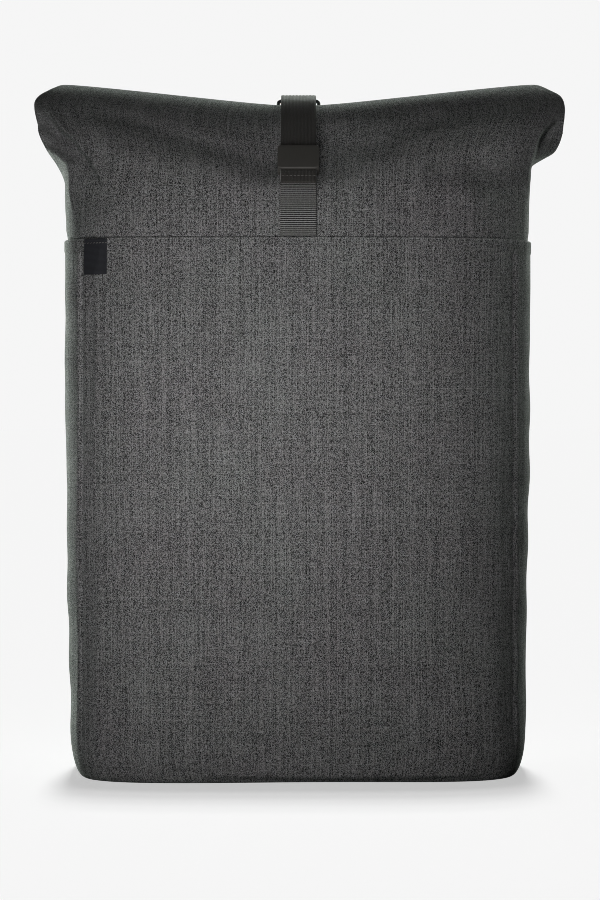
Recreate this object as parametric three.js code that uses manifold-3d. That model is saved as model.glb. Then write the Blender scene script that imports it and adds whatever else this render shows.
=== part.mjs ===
// A roll-top backpack that stands closed on its base: a hollow cloth body, a cloth collar that is pressed
// flat and rolled to the back, a webbing strap with a buckle over the roll, and two padded shoulder straps.
// Millimetres, +Z up. The front faces -Y, and the origin is the middle of the flat base.
import * as THREE from "three";
import { mergeVertices } from "three/addons/utils/BufferGeometryUtils.js";
import Module from "manifold-3d";

const wasm = await Module();
wasm.setup();

// Driving dimensions
const CLOTH = 1.6; // wall of the body and the collar
const GAP = 0.4; // clearance between pieces that touch on the real bag
const HEM_Z = 376.5; // top hem of the lower body
const HEM_LAP = 17; // how far the collar reaches down inside the hem
const BASE_ROUND = 30; // height of the rounding between the walls and the flat base
const BASE_SIDE = 8.5; // how far that rounding draws in at the sides
const BASE_FRONT = 9; // and at the front and the back
const WEBBING_WIDTH = 25;
const WEBBING = 1.5; // thickness of the webbing

// The lower body, one row for each level: half width, reach to the front and to the back, and how square the
// section's front left, front right and back corners are (the exponent of a superellipse). The bag is
// filled unevenly, so its right corner is rounder.
const BODY_LEVELS = tableOf("z halfWidth front back squareLeft squareRight squareBack", [
  [0, 160.4, 66.3, 60, 4.8, 4.2, 7],
  [110, 162.6, 66, 61, 4.5, 3.1, 7],
  [220, 164.3, 66.5, 61, 4.4, 3.1, 7],
  [320, 165, 62, 60.5, 4.4, 3.1, 6.5],
  [HEM_Z, 165.2, 57, 59, 4.5, 3.2, 6],
]);
const BODY_WIDEST = 28; // how far behind the middle the body is widest

// The collar above the hem, where its walls lean together. For each level: how far the front wall reaches to
// the sides, how far the back wall does at the left and at the right, how far they reach to the front and to
// the back, the depth where they are widest, and how square the section's corners are. In the last row the
// walls lie together at the front of the roll.
const COLLAR_LEVELS = tableOf("z edge left right front back widest squareLeft squareRight squareBack", [
  [384, 164, 166.5, 164, 56.5, 58, 28, 4.5, 3.2, 6.0],
  [399, 164.2, 167.6, 163.8, 55.5, 53.5, 24, 4.4, 3.2, 5.4],
  [410, 164.2, 167.3, 163.4, 54.3, 46, 15, 4.2, 3.2, 4.8],
  [420, 164, 166.6, 163.6, 52.3, 35, 3, 4.0, 3.2, 4.3],
  [430, 164.2, 171, 165, 49.3, 21, -11, 3.7, 3.2, 3.8],
  [438, 165.5, 177, 180.5, 45.3, 7, -19, 3.4, 3.1, 3.4],
  [443, 167, 180, 184.5, 41.6, -4.5, -23, 3.2, 3.0, 3.2],
  [449, 169.5, 183, 187, 36, -18, -27, 2.9, 2.8, 2.9],
  [453, 171.5, 184.5, 188, 30.5, -20.3, -25.4, 2.7, 2.7, 2.7],
  [457.7, 174, 185, 188.3, 23.9, -19.1, -21.5, 2.6, 2.6, 2.6],
]);
const FLAT_Z = COLLAR_LEVELS.at(-1).z; // where the two walls meet
const HOLLOW_TOP_Z = 449; // where the hollow inside the collar ends
const DOUBLE = 4.8; // both walls of the collar lying together

// The roll: the flat collar goes up the front of it, over the top, down the back and round again. The roll is
// flat and leans back.
const ROLL = { y: 4.6, z: 469.3, halfDepth: 14, halfHeight: 32, lean: 52, pitch: 6.2, start: -60, end: 516 };
const ROLL_STEP = 24; // degrees of turn between two sections
// How far the rolled collar's front wall reaches to each side at each angle of turn, and how far its back
// wall does. The front face is at 0 degrees, the top near 60, the back end at 90 and the underside at 180.
const ROLL_FLARE = [
  { turn: -60, left: 174, right: 174, innerLeft: 185, innerRight: 188.3 },
  { turn: -45, left: 179, right: 179, innerLeft: 185.7, innerRight: 188.3 },
  { turn: -30, left: 183.5, right: 184, innerLeft: 186, innerRight: 188 },
  { turn: -15, left: 185.5, right: 186.5, innerLeft: 185.5, innerRight: 186.5 },
  { turn: 0, left: 182.5, right: 184, innerLeft: 182.5, innerRight: 184 },
  { turn: 15, left: 176.5, right: 177.5, innerLeft: 176.5, innerRight: 177.5 },
  { turn: 30, left: 172, right: 173, innerLeft: 172, innerRight: 173 },
  { turn: 60, left: 168, right: 168.5, innerLeft: 168, innerRight: 168.5 },
  { turn: 90, left: 173, right: 173.5, innerLeft: 173, innerRight: 173.5 },
  { turn: 120, left: 182, right: 183, innerLeft: 182, innerRight: 183 },
  { turn: 150, left: 185, right: 187, innerLeft: 185, innerRight: 187 },
  { turn: 180, left: 184.5, right: 187.3, innerLeft: 184.5, innerRight: 187.3 },
  { turn: 210, left: 183, right: 186.5, innerLeft: 183, innerRight: 186.5 },
  { turn: 240, left: 181, right: 185.5, innerLeft: 181, innerRight: 185.5 },
  { turn: 270, left: 176, right: 180, innerLeft: 176, innerRight: 180 },
  { turn: 300, left: 170, right: 172, innerLeft: 170, innerRight: 172 },
  { turn: 516, left: 164, right: 164, innerLeft: 164, innerRight: 164 },
];
// The strap pulls the middle of the roll down, so that its top rises in straight lines to the two ends.
const SAG_SLOPE = 0.117;
const SAG_REACH = 175;
const SAG_ROUND = 25;
const SAG_FROM_Z = 392;

// Dents pressed into the front of the collar, under the strap and at each side: middle, spread and depth.
const DENTS = [
  { x: 0, z: 440, spreadX: 42, spreadZ: 14, depth: 8 },
  { x: -149, z: 412, spreadX: 17, spreadZ: 22, depth: 8 },
  { x: 147, z: 408, spreadX: 19, spreadZ: 21, depth: 8 },
];
const DENTS_FADE_Z = 449;

// The strap over the roll: its lift off the cloth, and the angles of turn where its folded-back end is sewn
// down and where it leaves the roll for a straight run to the front wall.
const STRAP_LIFT = 2.2;
const UNDERLAY_END = 34;
const STRAP_LEAVES_ROLL = -8;
const STRAP_MEETS_WALL_Z = 420;
const RUN_FOOT_LIFT = 2.8; // the strap's run out from the wall where it meets it
const TAB_LENGTH = 12; // hemmed end of the strap below the buckle
const BUCKLE = { z: 428.7, width: 29, length: 23, corner: 3.5, front: 1.8, slot: 2.3, middle: 1.4, rear: 1.2 };
const STRAP_IN_BUCKLE = (BUCKLE.middle + BUCKLE.slot) / 2; // strap and webbing out from its middle wall
// The ring on the back of the roll, which joins the strap to the webbing sewn to the back of the body.
const RING = { turn: 85, lift: 4.2, width: 31.5, height: 12.5, wire: 2.5, corner: 3.5 };
const ANCHOR_SEWN = { top: 366, bottom: 338 };
const ANCHOR_MEETS_WALL_Z = 402;
const ANCHOR_LAP = 24; // the end of that webbing, folded back and sewn to itself

const LABEL = { x: -140.3, width: 16.4, drop: 25, thickness: 1 };

// Shoulder straps: the middle line of the right one above its sewn end, with its width and padding.
const SHOULDER_SEWN = { x: 47, bottom: 336, top: 350, rise: 2, width: 56, padding: 3 };
const SHOULDER_LINE = [
  { x: 48.5, y: 74, z: 366, width: 60, padding: 9 },
  { x: 52, y: 90, z: 366, width: 60, padding: 11 },
  { x: 57, y: 102, z: 346, width: 60, padding: 11 },
  { x: 63, y: 109, z: 308, width: 60, padding: 11 },
  { x: 70, y: 112, z: 262, width: 58, padding: 11 },
  { x: 78, y: 107, z: 212, width: 54, padding: 11 },
  { x: 86, y: 97, z: 166, width: 46, padding: 10 },
  { x: 91, y: 88.5, z: 137, width: 34, padding: 5 },
];
// The adjuster below each padded strap: a frame with a top, a middle and a lower bar across it.
const ADJUSTER = { width: 33, height: 24, thickness: 3.2, bar: 3, corner: 3.5, middleBar: -1 };
const ADJUSTER_PLACE = new THREE.Vector3(95.5, 81.5, 116);
const LOWER_SEWN = { top: { x: 116, z: 50 }, bottom: { x: 120.5, z: 34 } }; // on the back of the body
const TAIL_LENGTH = 70; // loose end of the lower webbing
const LOOP_LENGTH = 13; // how far the adjuster's loop is sewn along the padded strap's end

// Points round a section: along the front and the back, and along each side.
const ALONG_WIDTH = 18;
const ALONG_DEPTH = 8;

const cloth = new THREE.MeshStandardMaterial({ color: 0x4d4d4e, roughness: 0.9, metalness: 0 });
const strapCloth = new THREE.MeshStandardMaterial({ color: 0x2b2b2c, roughness: 0.9, metalness: 0 });
const webbing = new THREE.MeshStandardMaterial({ color: 0x2a2927, roughness: 0.8, metalness: 0 });
const labelCloth = new THREE.MeshStandardMaterial({ color: 0x1f2124, roughness: 0.75, metalness: 0 });
const plastic = new THREE.MeshStandardMaterial({ color: 0x2d2c2a, roughness: 0.55, metalness: 0 });
const blackMetal = new THREE.MeshStandardMaterial({ color: 0x141414, roughness: 0.35, metalness: 1 });

const X_AXIS = new THREE.Vector3(1, 0, 0);
const radians = THREE.MathUtils.degToRad;
const smoothstep = THREE.MathUtils.smoothstep;

// The rows of a table as objects, from the names of its columns.
function tableOf(names, rows) {
  const keys = names.split(" ");
  return rows.map((row) => Object.fromEntries(keys.map((key, i) => [key, row[i]])));
}

// A column of a table at any place between its rows, on a smooth curve through them.
function column(rows, key, name, at) {
  const last = rows.length - 1;
  let i = 0;
  while (i < last - 1 && at > rows[i + 1][key]) i += 1;
  const slope = (a, b) => (rows[b][name] - rows[a][name]) / (rows[b][key] - rows[a][key]);
  const span = rows[i + 1][key] - rows[i][key];
  const t = THREE.MathUtils.clamp((at - rows[i][key]) / span, 0, 1);
  const startSlope = i > 0 ? slope(i - 1, i + 1) : slope(i, i + 1);
  const endSlope = i + 1 < last ? slope(i, i + 2) : slope(i, i + 1);
  const fromStart = (1 + 2 * t) * (1 - t) ** 2 * rows[i][name] + t * (1 - t) ** 2 * span * startSlope;
  const fromEnd = t ** 2 * (3 - 2 * t) * rows[i + 1][name] - t ** 2 * (1 - t) * span * endSlope;
  return fromStart + fromEnd;
}

// The round of a section as points on the edge of a square from -1 to 1, closer together near the corners.
function roundOfSection() {
  const place = (i, count) => {
    const t = (2 * i) / count - 1;
    return 0.45 * t + 0.55 * Math.sin((Math.PI / 2) * t);
  };
  const points = [];
  for (let i = 0; i < ALONG_WIDTH; i += 1) points.push({ u: place(i, ALONG_WIDTH), v: -1 });
  for (let i = 0; i < ALONG_DEPTH; i += 1) points.push({ u: 1, v: place(i, ALONG_DEPTH) });
  for (let i = 0; i < ALONG_WIDTH; i += 1) points.push({ u: -place(i, ALONG_WIDTH), v: 1 });
  for (let i = 0; i < ALONG_DEPTH; i += 1) points.push({ u: -1, v: -place(i, ALONG_DEPTH) });
  return points;
}
const ROUND = roundOfSection();

// The faces that close such a round: strips from its front to its back, and a fan at each side.
function roundFaces() {
  const faces = [];
  const backLeft = 2 * ALONG_WIDTH + ALONG_DEPTH;
  for (let i = 0; i < ALONG_WIDTH; i += 1) {
    faces.push([i, i + 1, backLeft - i - 1], [i, backLeft - i - 1, backLeft - i]);
  }
  for (let i = 1; i < ALONG_DEPTH; i += 1) {
    faces.push([ALONG_WIDTH, ALONG_WIDTH + i, ALONG_WIDTH + i + 1]);
    faces.push([backLeft, backLeft + i, (backLeft + i + 1) % ROUND.length]);
  }
  return faces;
}

// The faces that close a convex ring.
function fanFaces(count) {
  return Array.from({ length: count - 2 }, (_, i) => [0, i + 1, i + 2]);
}

function volumeOf(positions, faces) {
  const at = (i) => new THREE.Vector3().fromArray(positions, 3 * i);
  return faces.reduce((sum, [a, b, c]) => sum + at(a).dot(at(b).cross(at(c))) / 6, 0);
}

// A closed solid through rings with the same number of points, closed at its first and last ring.
function loftSolid(rings, endFaces) {
  const count = rings[0].length;
  const positions = rings.flatMap((points) => points.flatMap((p) => [p.x, p.y, p.z]));
  const faces = [];
  for (let level = 0; level + 1 < rings.length; level += 1) {
    for (let i = 0; i < count; i += 1) {
      const a = level * count + i;
      const b = level * count + ((i + 1) % count);
      faces.push([a, b, b + count], [a, b + count, a + count]);
    }
  }
  const last = (rings.length - 1) * count;
  for (const [a, b, c] of endFaces) faces.push([a, c, b], [last + a, last + b, last + c]);
  const outward = volumeOf(positions, faces) > 0 ? faces : faces.map(([a, b, c]) => [a, c, b]);
  const geometry = new THREE.BufferGeometry();
  geometry.setAttribute("position", new THREE.Float32BufferAttribute(positions, 3));
  geometry.setIndex(outward.flat());
  geometry.computeVertexNormals();
  return geometry;
}

// One point of the round pulled in from the square to a section's superellipses, which meet where the section
// is widest. Through is -1 at its front, 0 where it is widest and 1 at its back.
function onSection({ u, v }, section) {
  const squareFront = u < 0 ? section.squareLeft : section.squareRight;
  const square = v < 0 ? squareFront : section.squareBack;
  const pull = (Math.abs(u) ** square + Math.abs(v) ** square) ** (-1 / square);
  const reach = v < 0 ? section.front + section.widest : section.back - section.widest;
  const through = v * pull;
  return { x: u * pull * section.halfWidth, y: section.widest + through * reach, through };
}

// The body's section at a height, drawn in where the walls round over to the base, and inset by a distance.
function bodySection(z, inset = 0) {
  const below = Math.max(0, BASE_ROUND - z);
  const rounded = 1 - Math.sqrt(1 - (below / BASE_ROUND) ** 2);
  const at = (name) => column(BODY_LEVELS, "z", name, z);
  return {
    halfWidth: at("halfWidth") - inset - BASE_SIDE * rounded,
    front: at("front") - inset - BASE_FRONT * rounded,
    back: at("back") - inset - BASE_FRONT * rounded,
    squareLeft: at("squareLeft"),
    squareRight: at("squareRight"),
    squareBack: at("squareBack"),
    widest: BODY_WIDEST,
  };
}

function bodyRing(z, inset = 0, lift = 0) {
  const section = bodySection(z, inset);
  return ROUND.map((p) => {
    const { x, y } = onSection(p, section);
    return new THREE.Vector3(x, y, z + lift);
  });
}

// The depth of the body's front or back wall at a place on it.
function frontOfBody(x, z) {
  const { halfWidth, front, squareLeft, squareRight, widest } = bodySection(z);
  const square = x < 0 ? squareLeft : squareRight;
  return widest - (front + widest) * (1 - (Math.abs(x) / halfWidth) ** square) ** (1 / square);
}

function backOfBody(x, z) {
  const { halfWidth, back, squareBack, widest } = bodySection(z);
  return widest + (back - widest) * (1 - (Math.abs(x) / halfWidth) ** squareBack) ** (1 / squareBack);
}

// Lower body: up the outside from the base, over the hem, and down the inside to the floor of the bag.
function bodyGeometry() {
  const foot = [0, 0.12, 0.3, 0.55, 0.85].map((share) => share * BASE_ROUND);
  const wall = [40, 75, 120, 170, 220, 270, 320, 352, HEM_Z];
  const outside = [...foot, ...wall].map((z) => bodyRing(z));
  const inside = wall.toReversed().map((z) => bodyRing(z, CLOTH));
  const floor = [foot[3], foot[2], foot[1]].map((z) => bodyRing(z, CLOTH, CLOTH));
  return loftSolid([...outside, ...inside, ...floor], roundFaces());
}

// How far the strap has pulled the collar down, by the place across it and the height.
function sagAt(x, z = FLAT_Z) {
  const rise = (at) => Math.hypot(at, SAG_ROUND);
  const full = Math.max(0, SAG_SLOPE * (rise(SAG_REACH) - rise(x)));
  return full * smoothstep(z, SAG_FROM_Z, FLAT_Z);
}

// How far the front of the collar is pressed in, which fades out where the roll starts.
function dentAt(x, z) {
  const shown = 1 - smoothstep(z, DENTS_FADE_Z, FLAT_Z);
  return DENTS.reduce((sum, dent) => {
    const away = ((x - dent.x) / dent.spreadX) ** 2 + ((z - dent.z) / dent.spreadZ) ** 2;
    return sum + shown * dent.depth * Math.exp(-away);
  }, 0);
}

// A ring of the collar between the hem and the roll, with its dents and the pull of the strap.
function domeRing(z, inset = 0) {
  const at = (name) => column(COLLAR_LEVELS, "z", name, z);
  const section = {
    halfWidth: 1,
    front: at("front") - inset,
    back: at("back") - inset,
    squareLeft: at("squareLeft"),
    squareRight: at("squareRight"),
    squareBack: at("squareBack"),
    widest: at("widest"),
  };
  return ROUND.map((p) => {
    const { x: across, y, through } = onSection(p, section);
    const x = across * (wallReach(at("edge"), across < 0 ? at("left") : at("right"), through) - inset);
    const dent = dentAt(x, z) * smoothstep(-through, 0, 0.6);
    return new THREE.Vector3(x, y + dent, z - sagAt(x, z));
  });
}

// How far a section reaches to a side, between the reach of its front wall and that of its back wall.
function wallReach(front, back, through) {
  return front + (back - front) * smoothstep(through, -0.6, 0.4);
}

// The depth of the collar's front wall at the middle of the bag.
function frontOfCollar(z) {
  return dentAt(0, z) - column(COLLAR_LEVELS, "z", "front", z);
}

// A point of the roll's path at an angle of turn, moved out of the roll by a lift, as [y, z].
function rollPoint(turn, x, lift = 0) {
  const shrink = (ROLL.pitch * (turn - ROLL.start)) / 360;
  const depth = ROLL.halfDepth - shrink;
  const height = ROLL.halfHeight - shrink;
  const around = radians(turn);
  const out = new THREE.Vector2(-height * Math.cos(around), depth * Math.sin(around)).normalize();
  const back = -depth * Math.cos(around) + lift * out.x;
  const up = height * Math.sin(around) + lift * out.y;
  const lean = radians(ROLL.lean);
  return [
    ROLL.y + back * Math.cos(lean) + up * Math.sin(lean),
    ROLL.z - back * Math.sin(lean) + up * Math.cos(lean) - sagAt(x),
  ];
}

// A ring of the roll, where the collar's two walls lie together. The front wall is on the outside.
function rollRing(turn) {
  const at = (name) => column(ROLL_FLARE, "turn", name, turn);
  const { squareLeft, squareRight, squareBack } = COLLAR_LEVELS.at(-1);
  const corners = { squareLeft, squareRight, squareBack };
  const flat = { halfWidth: 1, front: DOUBLE / 2, back: DOUBLE / 2, widest: 0, ...corners };
  return ROUND.map((p) => {
    const { x: across, y: outwards, through } = onSection(p, flat);
    const left = wallReach(at("left"), at("innerLeft"), through);
    const right = wallReach(at("right"), at("innerRight"), through);
    const x = across * (across < 0 ? left : right);
    const [y, z] = rollPoint(turn, x, -outwards);
    return new THREE.Vector3(x, y, z);
  });
}

// Collar: from the top of its hollow down the inside, round its lower edge, up the outside and along the
// roll.
function collarGeometry() {
  const skirt = [HEM_Z + 0.6, HEM_Z - HEM_LAP];
  const dome = [384, 392, 399, 405, 410, 415, 420, 425, 430, 434, 438, 441, 443, 446, 449, 453, FLAT_Z];
  const hollow = [HOLLOW_TOP_Z, 446, 443, 438, 430, 420, 410, 399, 384];
  // A level ring cuts a sloping wall at a slant, so the inside is inset further where the wall leans more.
  const wallInset = (z) => CLOTH * (1.2 + 1.3 * smoothstep(z, 399, HOLLOW_TOP_Z));
  const rings = hollow.map((z) => domeRing(z, wallInset(z)));
  rings.push(...skirt.map((z) => bodyRing(z, 2 * CLOTH + GAP)));
  rings.push(...skirt.toReversed().map((z) => bodyRing(z, CLOTH + GAP)));
  rings.push(...dome.map((z) => domeRing(z)));
  for (let turn = ROLL.start; turn <= ROLL.end; turn += ROLL_STEP) rings.push(rollRing(turn));
  return loftSolid(rings, roundFaces());
}

// The directions of a strap that runs along a direction: across it, as near as it goes to a given one, and
// through it.
function strapFrame(along, towards = X_AXIS) {
  const across = towards.clone().addScaledVector(along, -towards.dot(along)).normalize();
  return { along, across, through: along.clone().cross(across) };
}

// The section of a strap as points from -1 to 1: the 4 corners of flat webbing, or a rounded, padded section.
function strapSection(sides) {
  const corners = [
    { u: -1, v: -1 },
    { u: 1, v: -1 },
    { u: 1, v: 1 },
    { u: -1, v: 1 },
  ];
  if (sides === corners.length) return corners;
  const round = (value, power) => Math.sign(value) * Math.abs(value) ** power;
  return Array.from({ length: sides }, (_, i) => {
    const a = (2 * Math.PI * (i + 0.5)) / sides;
    return { u: round(Math.cos(a), 0.45), v: round(Math.sin(a), 0.6) };
  });
}

// A strap through a line of places, each with its own width and thickness if it isn't plain webbing, and its
// own direction across the strap if that isn't X.
function strapGeometry(line, sides = 4) {
  const points = line.map(({ x, y, z }) => new THREE.Vector3(x, y, z));
  const rings = points.map((point, i) => {
    const before = points[Math.max(0, i - 1)];
    const after = points[Math.min(points.length - 1, i + 1)];
    const { width = WEBBING_WIDTH, padding = WEBBING, towards } = line[i];
    const { across, through } = strapFrame(after.clone().sub(before).normalize(), towards);
    return strapSection(sides).map(({ u, v }) => {
      const corner = point.clone().addScaledVector(across, (u * width) / 2);
      return corner.addScaledVector(through, (v * padding) / 2);
    });
  });
  return loftSolid(rings, fanFaces(sides));
}

// A line with more places than its table has rows, on a smooth curve through them.
function smoothLine(rows, steps) {
  const counted = rows.map((row, i) => ({ ...row, i }));
  return Array.from({ length: (rows.length - 1) * steps + 1 }, (_, step) => {
    const at = (name) => column(counted, "i", name, step / steps);
    return { x: at("x"), y: at("y"), z: at("z"), width: at("width"), padding: at("padding") };
  });
}

// Webbing folded half way round a bar, as places ahead of the bar and out from it. It starts under the bar.
function foldOverBar(barThickness, ahead) {
  const radius = barThickness / 2 + GAP + WEBBING / 2;
  return [-90, -60, -30, 0, 30, 60, 90].map((degrees) => {
    const a = radians(degrees);
    return { ahead: ahead * radius * Math.cos(a), out: radius * Math.sin(a) };
  });
}

function onRoll(turn, lift) {
  const [y, z] = rollPoint(turn, 0, DOUBLE / 2 + lift);
  return { x: 0, y, z };
}

// The ring's middle, the direction down the back of the roll and the direction out of it, as [y, z].
function ringFrame() {
  const middle = onRoll(RING.turn, RING.lift);
  const foot = onRoll(RING.turn, 0);
  const out = new THREE.Vector2(middle.y - foot.y, middle.z - foot.z).normalize();
  const down = new THREE.Vector2(out.y, -out.x);
  return { middle, down, out };
}

// Webbing folded over the ring's upper bar (-1) or its lower bar (1), on the side towards the ring's opening.
function foldOverRing(bar) {
  const { middle, down, out } = ringFrame();
  const barAt = (bar * (RING.height - RING.wire)) / 2;
  return foldOverBar(RING.wire, -bar).map((place) => {
    const along = barAt + place.ahead;
    return {
      x: 0,
      y: middle.y + along * down.x + place.out * out.x,
      z: middle.z + along * down.y + place.out * out.y,
    };
  });
}

// The straight run at the front, from the roll down to the front wall at the middle of the bag.
function frontRun() {
  const wallZ = STRAP_MEETS_WALL_Z - sagAt(0, STRAP_MEETS_WALL_Z);
  const wall = new THREE.Vector2(frontOfCollar(STRAP_MEETS_WALL_Z) - RUN_FOOT_LIFT, wallZ);
  const roll = onRoll(STRAP_LEAVES_ROLL, STRAP_LIFT);
  const down = wall.clone().sub(new THREE.Vector2(roll.y, roll.z)).normalize();
  const out = new THREE.Vector2(down.y, -down.x);
  const at = (z) => wall.clone().addScaledVector(down, (z - wall.y) / down.y);
  return { down, out, at };
}

// The strap: sewn end, fold over the ring's upper bar, back over the roll, and through the buckle to its hem.
function strapLine() {
  const { down, out, at } = frontRun();
  const underlay = [UNDERLAY_END, 46, 58, 68].map((turn) => onRoll(turn, STRAP_LIFT));
  const overlay = [
    onRoll(68, 7.4),
    onRoll(58, 6.1),
    onRoll(46, 5.0),
    onRoll(UNDERLAY_END, 4.3),
    onRoll(20, 3.3),
    onRoll(5, 2.5),
    onRoll(STRAP_LEAVES_ROLL, STRAP_LIFT),
  ];
  const buckle = at(BUCKLE.z).addScaledVector(out, 2 * STRAP_IN_BUCKLE);
  const place = (below, padding) => {
    const p = buckle.clone().addScaledVector(down, below);
    return { x: 0, y: p.x, z: p.y, padding };
  };
  const half = BUCKLE.length / 2;
  const hem = 1.9 * WEBBING;
  const run = [place(-half - 4), place(half + 1.5), place(half + 2.2, hem), place(half + TAB_LENGTH, hem)];
  return [...underlay, ...foldOverRing(-1), ...overlay, ...run];
}

// Webbing from the hem up the front wall and into the back of the buckle.
function frontWebbingLine() {
  const { down, at } = frontRun();
  const onWall = (z) => {
    return { x: 0, y: frontOfCollar(z) - STRAP_LIFT, z: z - sagAt(0, z) };
  };
  const levels = [HEM_Z + 2, 386, 393, 400, 405, 410, 415, STRAP_MEETS_WALL_Z];
  const end = at(BUCKLE.z).addScaledVector(down, 2 - BUCKLE.length / 2);
  return [...levels.map(onWall), { x: 0, y: end.x, z: end.y }];
}

// Webbing from its fold over the ring's lower bar straight down to the back wall, over the hem and onto the
// body, where it is sewn. Its upper end is folded back outside it.
function anchorLine() {
  const onWall = (z) => {
    const y = column(COLLAR_LEVELS, "z", "back", z) + STRAP_LIFT;
    return new THREE.Vector2(y, z - sagAt(0, z));
  };
  const fold = foldOverRing(1).toReversed();
  const ringDown = ringFrame().down;
  const top = new THREE.Vector2(fold.at(-1).y, fold.at(-1).z).addScaledVector(ringDown, 4);
  const wall = onWall(ANCHOR_MEETS_WALL_Z);
  const down = wall.clone().sub(top).normalize();
  const out = new THREE.Vector2(-down.y, down.x);
  const place = (p) => ({ x: 0, y: p.x, z: p.y });
  const outside = (below, lift) => place(top.clone().addScaledVector(down, below).addScaledVector(out, lift));
  const folded = [outside(ANCHOR_LAP, WEBBING + 2 * GAP), outside(3, 2 * WEBBING + GAP)];
  const sewn = (z) => ({ x: 0, y: backOfBody(0, z) + GAP + WEBBING / 2, z });
  const overHem = { x: 0, y: backOfBody(0, HEM_Z) + GAP + WEBBING, z: HEM_Z + 3 };
  const onBody = [ANCHOR_SEWN.top, (ANCHOR_SEWN.top + ANCHOR_SEWN.bottom) / 2, ANCHOR_SEWN.bottom].map(sewn);
  return [...folded, ...fold, place(top), place(wall), place(onWall(393)), overHem, ...onBody];
}

function roundedRectangle(width, height, corner, middleY = 0) {
  const w = width / 2;
  const top = middleY + height / 2;
  const bottom = middleY - height / 2;
  const shape = new THREE.Shape();
  shape.moveTo(-w + corner, bottom);
  shape.lineTo(w - corner, bottom);
  shape.absarc(w - corner, bottom + corner, corner, -Math.PI / 2, 0);
  shape.lineTo(w, top - corner);
  shape.absarc(w - corner, top - corner, corner, 0, Math.PI / 2);
  shape.lineTo(-w + corner, top);
  shape.absarc(-w + corner, top - corner, corner, Math.PI / 2, Math.PI);
  shape.lineTo(-w, bottom + corner);
  shape.absarc(-w + corner, bottom + corner, corner, Math.PI, 1.5 * Math.PI);
  return shape;
}

// A plate with rounded edges, lying in the XY plane about its own middle.
function plateGeometry(shape, thickness, edge) {
  const geometry = new THREE.ExtrudeGeometry(shape, {
    depth: thickness - 2 * edge,
    bevelThickness: edge,
    bevelSize: edge,
    bevelOffset: -edge,
    bevelSegments: 1,
    curveSegments: 2,
  });
  return geometry.translate(0, 0, edge - thickness / 2);
}

function solidOf(geometry) {
  const bare = geometry.clone();
  bare.deleteAttribute("normal");
  bare.deleteAttribute("uv");
  const merged = mergeVertices(bare);
  const mesh = new wasm.Mesh({
    numProp: 3,
    vertProperties: merged.attributes.position.array,
    triVerts: new Uint32Array(merged.index.array),
  });
  return new wasm.Manifold(mesh);
}

function geometryOf(solid) {
  const mesh = solid.getMesh();
  const geometry = new THREE.BufferGeometry();
  geometry.setAttribute("position", new THREE.BufferAttribute(mesh.vertProperties, 3));
  geometry.setIndex(new THREE.BufferAttribute(mesh.triVerts, 1));
  geometry.computeVertexNormals();
  return geometry;
}

function ringGeometry() {
  const { width, height, wire, corner } = RING;
  const shape = roundedRectangle(width, height, corner);
  shape.holes.push(roundedRectangle(width - 2 * wire, height - 2 * wire, corner - wire + 0.6));
  return plateGeometry(shape, wire, 0.7);
}

// The buckle in its own XY plane, with the strap along Y: a sleeve with one slot for the strap and one
// behind it for the webbing. Its middle wall is at its origin.
function buckleGeometry() {
  const { width, length, corner, front, slot, middle, rear } = BUCKLE;
  const thickness = front + slot + middle + slot + rear;
  const block = plateGeometry(roundedRectangle(width, length, corner), thickness, 0.6);
  block.translate(0, 0, thickness / 2 - rear - slot - middle / 2);
  const slotAt = (z) => {
    const box = new THREE.BoxGeometry(WEBBING_WIDTH + 2 * GAP, 2 * length, slot);
    return solidOf(box.translate(0, 0, z));
  };
  const strapSlot = slotAt(STRAP_IN_BUCKLE);
  const webbingSlot = slotAt(-STRAP_IN_BUCKLE);
  return geometryOf(solidOf(block).subtract(strapSlot).subtract(webbingSlot));
}

// The adjuster in its own XY plane, with the strap along Y from its top bar at +Y to its lower bar.
function adjusterGeometry() {
  const { width, height, thickness, bar, corner, middleBar } = ADJUSTER;
  const shape = roundedRectangle(width, height, corner);
  const edges = [height / 2 - bar, -middleBar + bar / 2, -middleBar - bar / 2, bar - height / 2];
  for (const [top, bottom] of [edges.slice(0, 2), edges.slice(2, 4)]) {
    shape.holes.push(roundedRectangle(WEBBING_WIDTH + 2, top - bottom, 1, (top + bottom) / 2));
  }
  return plateGeometry(shape, thickness, 0.7);
}

// Where the adjuster of the right strap lies: along its webbing to the sewn end, across it and out from the
// back.
function adjusterFrame() {
  const { x, z } = LOWER_SEWN.top;
  const sewn = new THREE.Vector3(x, backOfBody(x, z) + GAP + WEBBING / 2, z);
  const { along, across, through } = strapFrame(sewn.sub(ADJUSTER_PLACE).normalize());
  const out = through.negate();
  const place = (below, outwards, padding) => {
    const p = ADJUSTER_PLACE.clone().addScaledVector(along, below).addScaledVector(out, outwards);
    return { x: p.x, y: p.y, z: p.z, padding, towards: across };
  };
  return { along, out, place };
}

// The short loop that is sewn to both faces of the padded strap's end and holds the adjuster's top bar.
function loopLine() {
  const { place } = adjusterFrame();
  const { bar, height, thickness } = ADJUSTER;
  const topBar = (bar - height) / 2;
  const fold = foldOverBar(thickness, 1).map(({ ahead, out }) => place(topBar + ahead, out));
  const onPad = SHOULDER_LINE.at(-1).padding / 2 + 2 * GAP + WEBBING;
  const sewn = [topBar - LOOP_LENGTH - 8, topBar - 8];
  return [
    ...sewn.map((below) => place(below, -onPad)),
    ...fold,
    ...sewn.toReversed().map((below) => place(below, onPad)),
  ];
}

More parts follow.
